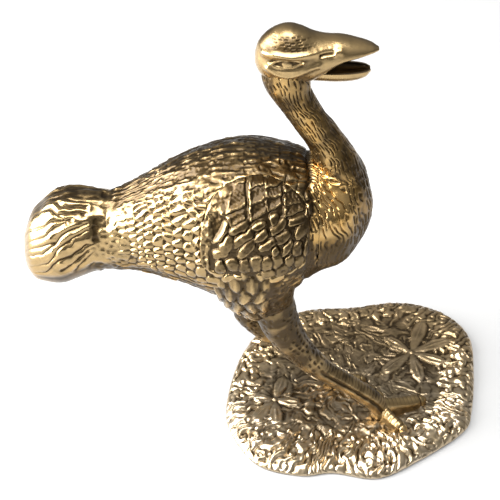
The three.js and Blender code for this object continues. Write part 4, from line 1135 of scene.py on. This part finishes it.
# %% Head piece
def head_piece():
    """The skull and upper bill with its face, one closed skin."""
    angles = full_turn(HEAD_COLUMNS)
    skin = head_skin(even_shares(HEAD[:, :1] * HEAD_LENGTH, HEAD_ROWS), angles)
    a = (skin[..., 0] - NECK_TOP_X) / HEAD_LENGTH
    h = (skin[..., 2] - NECK_TOP_Z) / HEAD_HEIGHT
    depth, cuts = crown_relief(a, h)
    beside = ease(0.25, 0.6, np.abs(np.sin(angles)))[None, :]
    relief = beside * (face_relief(a, h) - depth) + 0.02 * noise(a * 40, h * 20, skin[..., 1] / 2, seed=72)
    # The crown is darkened, partly patina and partly painted shade that dims the lamps' reflection; top and
    # underside are a little darker too, painted shade.
    crown_patina_and_shade = 0.08 * ease(0.42, 0.52, h) * (1 - ease(0.2, 0.4, a))
    crown_patina_and_shade += 0.3 * between(0.4, 0.47, 0.62, 0.7, h) * (1 - ease(-0.02, 0.06, a))
    dark = np.clip(hollows(relief, 7, 0.28) + 0.8 * cuts * beside + 0.2 * (1 - beside) + crown_patina_and_shade, 0, 1)
    make_piece("head", ["head"], [shell(raised(skin, relief), dark)], polished_brass)


head_piece()

# %% [markdown]
# The lower bill is a shallow trough with a bright rim. Each cross-section is a half ellipse outside and a
# smaller one inside, so the section is a closed band, carried along the jaw.

# %% Lower bill
JAW_X, RIM_Z = NECK_TOP_X + 0.326 * HEAD_LENGTH, NECK_TOP_Z + 0.06 * HEAD_HEIGHT - 1.5
BILL_LENGTH, BILL_WIDTH, BILL_DEPTH, BILL_WALL = 10.6, 7.2, 3.0, 0.7
BILL_ROWS, BILL_OUTER, BILL_INNER = 110, 90, 70
LOWER_BILL = np.array([
    # along, depth, half width
    [-0.62, 0.5, 0.3],
    [-0.34, 0.86, 0.42],
    [0, 0.97, 0.48],
    [0.3, 1, 0.5],
    [0.62, 0.94, 0.45],
    [0.88, 0.68, 0.33],
    [1, 0.3, 0.14],
])


def lower_bill_piece():
    """Outer half ellipse from the left rim under to the right one, then the inner one back over it."""
    sections = curve(LOWER_BILL, even_shares(LOWER_BILL[:, :1], BILL_ROWS))
    along, deep, half = (sections[:, k, None] for k in range(3))
    outer = np.linspace(0, np.pi, BILL_OUTER)[None, :]
    inner = np.linspace(np.pi, 0, BILL_INNER)[None, :]
    wide, down = half * BILL_WIDTH, deep * BILL_DEPTH
    wall = np.minimum(BILL_WALL, 0.45 * wide)
    y = np.concatenate([wide * np.cos(outer), (wide - wall) * np.cos(inner)], axis=1)
    hang = np.concatenate([down * np.sin(outer), np.maximum(down - wall, 0.2 * down) * np.sin(inner)], axis=1)
    x = JAW_X + along * BILL_LENGTH + 0 * y
    points = np.stack([x, MEDIAN_Y + y, RIM_Z - hang], axis=-1)
    # The inside of the trough is dark all over: painted shade inside the mouth.
    dark = np.concatenate([0 * outer, 0.75 + 0 * inner], axis=1) + 0 * y
    rims = [0, BILL_OUTER - 1, BILL_OUTER, BILL_OUTER + BILL_INNER - 1]
    make_piece("lower_bill", ["lower_bill"], [shell(points, dark, rims)], polished_brass)


lower_bill_piece()

# %% [markdown]
# ## The legs
# A leg is a tube along a bent path: drumstick, hock and the long shank, with a two-toed foot. Each rib
# stands square to the path. The drumstick is pecked. The shank has a row of plates in front and a groove on
# each side.

# %% Leg path
BASE_TOP, LEG_HEIGHT, LEG_THICKNESS = 3.2, 41.0, 6.0
LEG_ROWS, LEG_COLUMNS, LEG_RUN = 300, 150, 60.0
# A toe is its length, its width and its turn in degrees. A path's rows are the way from the heel to the hip,
# the height, and the thickness, as shares of the leg's own.
LEGS = {
    "right_leg": {
        "hip": RIGHT_HIP, "heel": (6.0, -5.0), "toes": ((15.2, 5.0, 22), (9.8, 4.2, -45)),
        "path": np.array([
            [1.04, 1.12, 1.8], [1.0, 0.97, 1.84], [0.92, 0.8, 1.64], [0.8, 0.645, 1.36],
            [0.59, 0.46, 1.05], [0.339, 0.314, 0.93], [0.102, 0.168, 0.93], [0, 0.07, 0.9],
        ]),
    },
    "left_leg": {
        "hip": LEFT_HIP, "heel": (-6.0, 7.5), "toes": ((15.2, 5.0, -24), (9.4, 4.0, 8)),
        "path": np.array([
            [1.02, 1.12, 1.7], [0.99, 0.97, 1.7], [0.95, 0.82, 1.46], [0.893, 0.68, 1.24],
            [0.645, 0.49, 1.03], [0.37, 0.3, 0.93], [0.12, 0.15, 0.93], [0, 0.07, 0.9],
        ]),
    },
}


def limb_ribs(path):
    """Ribs square to a path of (x, y, z, thickness): one half axis in the upright plane, the other level."""
    shares = np.linspace(0, 1, len(path))
    ahead = curve(path, np.clip(shares + 0.01, 0, 1)) - curve(path, np.clip(shares - 0.01, 0, 1))
    ahead = ahead[:, [0, 2]] / np.linalg.norm(ahead[:, [0, 2]], axis=1, keepdims=True)
    half = path[:, 3] / 2
    none = np.zeros(len(path))
    up = np.column_stack([-ahead[:, 1] * half, none, ahead[:, 0] * half])
    return path[:, :3], up, np.column_stack([none, -half, none])


print("ribs in each leg:", [len(leg["path"]) for leg in LEGS.values()])

# %% Leg surface
def scutes(run, pitch):
    """Plates that follow each other at a pitch: 0 on each, falling to -1 in the grooves between them."""
    return np.clip(np.abs(np.sin(np.pi * run / pitch)) / 0.5, 0, 1) - 1


def leg_shell(hip, heel, path):
    """The tube from inside the thigh to the heel, with pecked marks above the hock and plates below it."""
    x = blend(heel[0], hip[0], path[:, 0])
    y = MEDIAN_Y + blend(heel[1], hip[1], np.clip(path[:, 1], 0, 1))
    z = BASE_TOP + LEG_HEIGHT * path[:, 1]
    ribs = limb_ribs(np.column_stack([x, y, z, path[:, 2] * LEG_THICKNESS]))
    angles = full_turn(LEG_COLUMNS)
    shares = even_shares(ribs[0], LEG_ROWS)
    skin = loft(ribs, shares, angles)
    down = np.linspace(0, LEG_RUN, LEG_ROWS)[:, None]
    turn = angles[None, :] / (2 * np.pi)
    share = shares[:, None]
    shank = ease(0.52, 0.6, share)
    wander = 0.5 * noise(down / 3, 6 * turn, seed=81)
    pecks = strokes(down / 2.1 + wander, 16 * turn + wander, 0.5, 0.2, 0.75, seed=82)
    blotch = noise(down / 2.2, 7 * turn, seed=84) + 0.6 * noise(down / 1.1, 14 * turn, seed=85)
    front = bell(np.minimum(turn, 1 - turn) - 0.06, 0.09)
    plates = scutes(down + 0.4 * wander, 1.2)
    groove = bell(turn - 0.2, 0.028) + bell(turn - 0.8, 0.028)
    hock = bell(share - 0.53, 0.035) * (0.6 + 0.4 * np.cos(angles)[None, :])
    relief = -0.26 * (1 - shank) * pecks + shank * (0.16 * front * plates - 0.4 * groove)
    relief += 0.12 * blotch * (1 - 0.7 * shank) + 0.35 * hock
    # Darker at the top, under the body: painted shade. The hock's knob is lighter: rubbed wear and a painted
    # highlight.
    dark = 0.7 + 0.15 * (1 - ease(0.1, 0.35, share)) - 0.4 * hock - 0.25 * blotch + 0.7 * (1 - shank) * pecks
    dark += shank * (0.7 * groove - 0.5 * front * plates + 0.15 * front - 0.4)
    return shell(raised(skin, relief), np.clip(dark, 0, 1))


# %% [markdown]
# A foot is two half round toes on the plate, with plates on top and a smooth nail, and a round pad over the
# screw that holds the leg. Toes, pad and tube overlap, as the solid casting needs no seams inside it.

# %% Feet
TOE_ROWS, TOE_COLUMNS = 130, 100
HEEL_ROWS, HEEL_COLUMNS, HEEL_RADIUS = 40, 60, 2.9
TOE = np.array([
    # along, half width, height
    [-0.1, 1.05, 1.75],
    [0.2, 1.02, 1.4],
    [0.48, 0.96, 1.05],
    [0.74, 0.9, 0.82],
    [0.93, 0.62, 0.55],
    [1, 0.26, 0.3],
])


def toe_shell(heel, length, width, degrees):
    """A half round toe that lies on the plate, turned from the bird's line, with scutes and a smooth nail."""
    turn = np.radians(degrees)
    ahead, aside = np.array([np.cos(turn), np.sin(turn), 0]), np.array([-np.sin(turn), np.cos(turn), 0])
    start = np.array([heel[0], MEDIAN_Y + heel[1], BASE_TOP - 0.25])
    centre = start + TOE[:, :1] * length * ahead
    up = TOE[:, 2:] * [0, 0, 0.8 * width]
    ribs = centre, up, -TOE[:, 1:2] * width / 2 * aside
    angles = full_turn(TOE_COLUMNS)
    skin = loft(ribs, even_shares(centre, TOE_ROWS), angles)
    share = np.linspace(0, 1, TOE_ROWS)[:, None]
    on_top = bell(np.minimum(angles, 2 * np.pi - angles)[None, :], 0.75)
    nail = ease(0.84, 0.87, share)
    plates = scutes(share * length, 1.15) * on_top * (1 - nail)
    edge_of_nail = bell(share - 0.85, 0.014)
    side_line = bell(np.abs(np.sin(angles))[None, :] - 0.93, 0.08) * (1 - nail)
    relief = 0.1 * plates - 0.2 * edge_of_nail - 0.12 * side_line
    points = raised(skin, relief)
    points[..., 2] = np.maximum(points[..., 2], BASE_TOP - 0.3)
    dark = 0.14 - 0.2 * nail - 0.4 * plates + 0.6 * edge_of_nail + 0.3 * side_line
    return shell(points, np.clip(dark, 0, 1))


def heel_shell(heel):
    """A round pad over the screw: a ball's latitude and longitude, sunk a little in the plate."""
    ring = np.linspace(0.05, np.pi - 0.05, HEEL_ROWS)[:, None]
    turn = full_turn(HEEL_COLUMNS)[None, :]
    middle = np.array([heel[0], MEDIAN_Y + heel[1], BASE_TOP + HEEL_RADIUS / 2])
    level, up = np.sin(ring), np.cos(ring) + 0 * turn
    points = middle + HEEL_RADIUS * np.stack([level * np.cos(turn), level * np.sin(turn), up], axis=-1)
    points[..., 2] = np.maximum(points[..., 2], BASE_TOP - 0.2)
    return shell(points, np.full(points.shape[:2], 0.4))


for leg_name, leg in LEGS.items():
    toes = [toe_shell(leg["heel"], *toe) for toe in leg["toes"]]
    shells = [leg_shell(leg["hip"], leg["heel"], leg["path"]), heel_shell(leg["heel"]), *toes]
    make_piece(leg_name, [leg_name], shells, polished_brass)

# %% [markdown]
# ## The ground plate
# The plate is a thin slab with an uneven outline. Two flat flowers lie on it, with tufts round them,
# modelled as low mounds. Each mound is half an ellipse across a line. The tufts' places are scattered by
# sines, as in the CAD model, so that both have the same ones.

# %% Tufts and flowers
BASE_LENGTH, BASE_DEPTH, BASE_THICKNESS = 76.7, 72.4, 3.2
BASE_OUTLINE = np.array([
    [-0.19, 0.43], [0.02, 0.455], [0.24, 0.49], [0.41, 0.42], [0.495, 0.27], [0.48, 0.06],
    [0.435, -0.165], [0.385, -0.275], [0.21, -0.412], [0.05, -0.5], [-0.11, -0.475], [-0.23, -0.487],
    [-0.38, -0.436], [-0.475, -0.28], [-0.495, -0.13], [-0.45, 0.12], [-0.36, 0.3],
])
BLOOMS = (
    # heart, then each petal's turn in degrees and its share of the longest one's length
    ((-23.85, -9.41), ((72, 0.62), (-10, 0.49), (-88, 0.62), (-128, 0.68), (173, 0.41))),
    ((18.41, 10.28), ((137, 0.63), (69, 1), (24, 0.9), (-24, 0.71), (-84, 0.77), (-138, 0.84))),
)
RIM_TUFTS, FIELD_TUFTS = 30, 12
RIM_MARGIN, RIM_TUFT_LENGTH, FIELD_TUFT_LENGTH = 1.2, 9.0, 8.0
TUFT_WIDTH, TUFT_HEIGHT = 3.0, 0.9
PETAL_LENGTH, PETAL_WIDTH, PETAL_HEIGHT = 15.5, 3.2, 0.9
# Places along a mound, and the share of its width and height there.
BLADE_SWELL = (0, 0.3, 0.7, 1), (0.35, 0.92, 1, 0.3)
PETAL_SWELL = (0, 0.25, 0.6, 0.88, 1), (0.22, 0.62, 1, 0.82, 0.3)


def rim_at(share):
    """Points at shares of the rim's length, from the first row of the outline on."""
    fine = ring_curve(BASE_OUTLINE * [BASE_LENGTH, BASE_DEPTH], np.linspace(0, 1, FINE_STEPS))
    run = distance_along(fine)
    place = np.mod(share, 1) * run[-1]
    return np.stack([np.interp(place, run, fine[:, axis]) for axis in (0, 1)], axis=-1)


def ridge(x, y, start, end, width, height, profile):
    """A low mound along a line: half an ellipse across, swelling from its root and closing at its tip."""
    along = end - start
    length = np.linalg.norm(along)
    out = ((x - start[0]) * along[0] + (y - start[1]) * along[1]) / length**2
    aside = ((x - start[0]) * along[1] - (y - start[1]) * along[0]) / length
    swell = np.interp(out, *profile)
    mound = height * swell * np.sqrt(np.clip(1 - (2 * aside / (width * swell)) ** 2, 0, 1))
    return np.where((out > -0.05) & (out < 1.05), mound, 0)


def tuft_lines():
    """Roots and tips of the tufts: some run out to the rim, others lie askew further in."""
    step = np.arange(RIM_TUFTS)[:, None]
    edge = rim_at((step[:, 0] + 0.5 + 0.3 * np.sin(2.4 * step[:, 0])) / RIM_TUFTS)
    inwards = -edge / np.linalg.norm(edge, axis=1, keepdims=True)
    tip = edge + RIM_MARGIN * inwards
    root = tip + RIM_TUFT_LENGTH * (1 + 0.25 * np.sin(1.7 * step)) * inwards
    step = np.arange(FIELD_TUFTS)
    middle = rim_at((step + 0.5) / FIELD_TUFTS) * (0.52 + 0.1 * np.sin(2.1 * step))[:, None]
    lean = 0.9 * np.sin(1.3 * step) - 0.9
    half = FIELD_TUFT_LENGTH / 2 * np.stack([np.cos(lean), np.sin(lean)], axis=-1)
    return np.vstack([root, middle + half]), np.vstack([tip, middle - half])


def bloom(x, y, heart, petals):
    """Petals as mounds round a small knob, each hollowed inside its edge, with a rib along its middle."""
    heart = np.array(heart)
    height = 0.9 * PETAL_HEIGHT * bell(np.hypot(x - heart[0], y - heart[1]), 1.0)
    for degrees, share in petals:
        ahead = np.array([np.cos(np.radians(degrees)), np.sin(np.radians(degrees))])
        width = (0.9 + 0.6 * share) * PETAL_WIDTH
        tip = heart + share * PETAL_LENGTH * ahead
        mound = ridge(x, y, heart, tip, width, 1.25 * PETAL_HEIGHT, PETAL_SWELL)
        aside = (x - heart[0]) * ahead[1] - (y - heart[1]) * ahead[0]
        dish = 0.45 * ease(0.7, 1.2, mound / PETAL_HEIGHT) * (1 - bell(aside, 0.3))
        height = np.maximum(height, mound * (1 - dish))
    return height


print("tufts:", RIM_TUFTS + FIELD_TUFTS, "petals:", sum(len(petals) for _, petals in BLOOMS))

# %% [markdown]
# The ground between them is crumpled into strands. Near the rim, bold strands run straight out. Further in,
# finer ones lie in patches, and each patch has a way of its own. The rim of strands is wider at the front.

# %% Ground texture
PATCH, PATCHES_REACH = 6.0, 42
BLADES, FRONT_REACH = 84, 0.1


def front_part(y):
    """1 along the front of the plate, falling to 0 behind it."""
    return 1 - ease(-26, -10, y)


def wisps(ahead, aside, seed):
    """Ragged strands: the crests of noise that is stretched one way, high where the noise crosses zero."""
    coarse = 1 - np.abs(noise(ahead / 4.5, aside / 1.4, seed=seed))
    fine = 1 - np.abs(noise(ahead / 2.2, aside / 0.65, seed=seed + 1))
    return coarse**2.2 + 0.25 * fine**2 - 0.5


def ground_texture(x, y, share, turn):
    """Height of the strands. share runs from the plate's middle to its rim, turn round it."""
    bent_x = x + 1.6 * noise(x / 3.5, y / 3.5, seed=86) + 0.5 * noise(x / 1.2, y / 1.2, seed=87)
    bent_y = y + 1.6 * noise(x / 3.5, y / 3.5, seed=88) + 0.5 * noise(x / 1.2, y / 1.2, seed=89)
    line = np.arange(-PATCHES_REACH, PATCHES_REACH + 1, PATCH)
    grid = np.stack(np.meshgrid(line, line), axis=-1).reshape(-1, 2)
    order = np.arange(len(grid))
    middles = grid + PATCH * 0.8 * np.stack([chance(order, seed=96), chance(order, seed=97)], axis=-1)
    nearest = np.argmin(np.stack([(bent_x - mx) ** 2 + (bent_y - my) ** 2 for mx, my in middles]), axis=0)
    way = 2 * np.pi * chance(nearest, seed=99)
    ahead = bent_x * np.cos(way) + bent_y * np.sin(way)
    aside = bent_y * np.cos(way) - bent_x * np.sin(way)
    patches = wisps(ahead, aside + 20 * nearest, seed=91)
    sway = 0.9 * noise(x / 3, y / 3, seed=98) + 0.45 * noise(x / 1.4, y / 1.4, seed=90)
    number = np.floor(BLADES * turn + sway)
    blade = 1 - np.abs(2 * (BLADES * turn + sway - number) - 1) ** 2
    own = chance(number, seed=92)
    front = FRONT_REACH * front_part(y)
    start = 0.62 - front + 0.16 * own + 0.06 * noise(x, y, seed=95)
    tall = 0.75 + 0.5 * chance(number, seed=94) + 0.16 * noise(x / 1.6, y / 1.6, seed=93)
    tall = tall * (1 - 0.45 * ease(8, 24, y))
    rim = ease(0.64, 0.76, share + front + 0.08 * noise(x / 3, y / 3, seed=85))
    blades = blade * tall * ease(start, start + 0.06, share) - 0.3 + 0.2 * patches * (1 - blade)
    return 0.48 * patches * (1 - rim) + (1.45 - 0.3 * ease(-26, -14, y)) * blades * rim


# %% [markdown]
# The plate's mesh is made of rings. They run from the middle of the top out over the rounded rim and back
# to the middle of the underside, so that the rim is as finely divided as the top. The relief fades out down
# the rim.

# %% Ground plate
PLATE_COLUMNS, TOP_RINGS, RIM_RINGS = 680, 106, 34
TOP_SHARE, RIM_LIP, RIM_FOOT = 0.78, 1.0, 0.2
UNDERSIDE = [0.99, 0.97, 0.6, 0.004]


def ground_plate():
    """Rings of the outline: out over the engraved top, down the rounded rim and back under the flat base."""
    turn = np.arange(PLATE_COLUMNS) / PLATE_COLUMNS
    outline = ring_curve(BASE_OUTLINE * [BASE_LENGTH, BASE_DEPTH], turn)
    fall = np.sin(np.linspace(0.02, np.pi / 2, RIM_RINGS))
    top = np.linspace(UNDERSIDE[-1], TOP_SHARE, TOP_RINGS)
    share = np.concatenate([top, TOP_SHARE + (1 - TOP_SHARE) * fall, UNDERSIDE])[:, None]
    x, y = outline[:, 0] * share, outline[:, 1] * share
    z = np.zeros(x.shape)
    z[:TOP_RINGS] = BASE_THICKNESS
    bluntness = 2.2 + 2.8 * ease(-10, 20, outline[:, 1])
    rounded = (1 - fall[:, None] ** bluntness) ** 0.55
    z[TOP_RINGS:TOP_RINGS + RIM_RINGS] = blend(RIM_LIP, BASE_THICKNESS, rounded)
    z[TOP_RINGS + RIM_RINGS] = RIM_FOOT
    tufts = np.zeros(x.shape)
    for root, tip in zip(*tuft_lines()):
        tufts = np.maximum(tufts, ridge(x, y, root, tip, TUFT_WIDTH, TUFT_HEIGHT, BLADE_SWELL))
    blooms = sum(bloom(x, y, *each) for each in BLOOMS)
    bare = ease(0.1, 0.5, blooms)
    texture = ground_texture(x, y, share, turn[None, :]) * (1 - 0.85 * bare)
    relief = np.maximum(0.5 * tufts, blooms) + texture + 0.03 * noise(x / 0.7, y / 0.7, seed=84)
    on_top = np.concatenate([np.ones(TOP_RINGS), 1 - 0.75 * fall**6, 0 * np.array(UNDERSIDE)])[:, None]
    field = 1 - ease(0.62, 0.8, share + FRONT_REACH * front_part(y))
    # The rim is lighter, most along the front: partly polish, partly a painted highlight.
    rim_polish_and_highlight = (0.3 + 0.35 * front_part(y)) * (1 - field) * (1 - ease(5, 22, y))
    film_and_painted_light = 0.34 * field - rim_polish_and_highlight - 0.15 * bare
    dark = np.clip(patina(relief, 0.5, film_and_painted_light), -0.4, 1) * on_top
    dark[-len(UNDERSIDE):] = 0.6
    points = np.stack([x, y, z + relief * on_top], axis=-1)
    # The metal grows warmer towards the back.
    plate = shell(points, dark, skin=0.05 + 0.45 * ease(-15, 22, y))
    make_piece("base_slab", ["base_slab"], [plate], ground_brass)


ground_plate()

# %% [markdown]
# ## Pins and screws
# The fastenings are the CAD model's own plain solids. They only need a metal: steel, or brass for the jaw's
# pin.

# %% Pins and screws
for node_name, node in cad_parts.items():
    if not node.hide_render:
        node.data.materials.clear()
        node.data.materials.append(polished_brass if node_name == "jaw_pin" else steel)
        print("steel or brass on", node_name)

# %% [markdown]
# ## Camera, floor and light
# The photo looks down at the bird's right side, through a long lens 38 degrees above the level. Polished
# metal shows its surroundings, so the room matters: it brightens upward, a broad soft light stands at the
# left, a smaller one hangs overhead, and a pale floor lights the belly.

# %% Camera
LOOK_AT = np.array([-31.1, -15.2, 63.3])
DISTANCE, ELEVATION = 250.0, np.radians(38)
LENS, SENSOR = 72, 36
camera_data = bpy.data.cameras.new("camera")
camera_data.lens, camera_data.sensor_width = LENS, SENSOR
camera_data.clip_start = 0.01
camera = placed("camera", camera_data)
camera.location = Vector((LOOK_AT + DISTANCE * np.array([0, -np.cos(ELEVATION), np.sin(ELEVATION)])) * MM)
camera.rotation_euler = (np.pi / 2 - ELEVATION, 0, 0)
bpy.context.scene.camera = camera
print("camera at", [round(each, 3) for each in camera.location])

# %% Floor
FLOOR_HALF, FLOOR_GLOW = 3.0, 0.26
FLOOR_TONES = (0.34, 0.34, 0.34, 1), (0.365, 0.365, 0.362, 1)


def floor_piece():
    """A level square far larger than the statue, at the height of its underside."""
    mesh = bpy.data.meshes.new("floor")
    corners = FLOOR_HALF * np.array([[-1, -1, 0], [1, -1, 0], [1, 1, 0], [-1, 1, 0]])
    mesh.from_pydata(corners.tolist(), [], [(0, 1, 2, 3)])
    material, tree, shader, place = bare_material("pale_floor")
    speck = linked(tree, "ShaderNodeTexNoise", Vector=place, Scale=40.0, Detail=2.0)
    tone = mixed_colour(tree, speck.outputs["Fac"], *FLOOR_TONES)
    feed(tree, shader, Base_Color=tone, Roughness=0.9)
    feed(tree, shader, Emission_Color=(1, 1, 1, 1), Emission_Strength=FLOOR_GLOW)
    mesh.materials.append(material)
    floor = placed("floor", mesh)
    print("floor is", 2 * FLOOR_HALF, "m wide")


floor_piece()

# %% Lights
def soft_light(name, place, size, power):
    """A square lamp of a given width in metres, aimed at the middle of the bird."""
    data = bpy.data.lights.new(name, "AREA")
    data.shape, data.size, data.energy = "SQUARE", size, power
    lamp = placed(name, data)
    lamp.location = place
    lamp.rotation_euler = (Vector(LOOK_AT * MM) - Vector(place)).to_track_quat("-Z", "Y").to_euler()


soft_light("left_softbox", (-0.75, -0.12, 0.42), 0.85, 36.0)
soft_light("overhead", (-0.1, -0.24, 0.8), 0.5, 6.0)
world = bpy.data.worlds.new("room")
world.use_nodes = True
sky = world.node_tree
view = sky.nodes.new("ShaderNodeTexCoord").outputs["Generated"]
up = linked(sky, "ShaderNodeSeparateXYZ", Vector=view).outputs["Z"]
sky.links.new(mapped(sky, up, 0.0, 0.7, 0.08, 0.44), sky.nodes["Background"].inputs["Strength"])
sky.nodes["Background"].inputs["Color"].default_value = (1, 0.99, 0.97, 1)
bpy.context.scene.world = world
bpy.context.scene.view_settings.view_transform = "Standard"
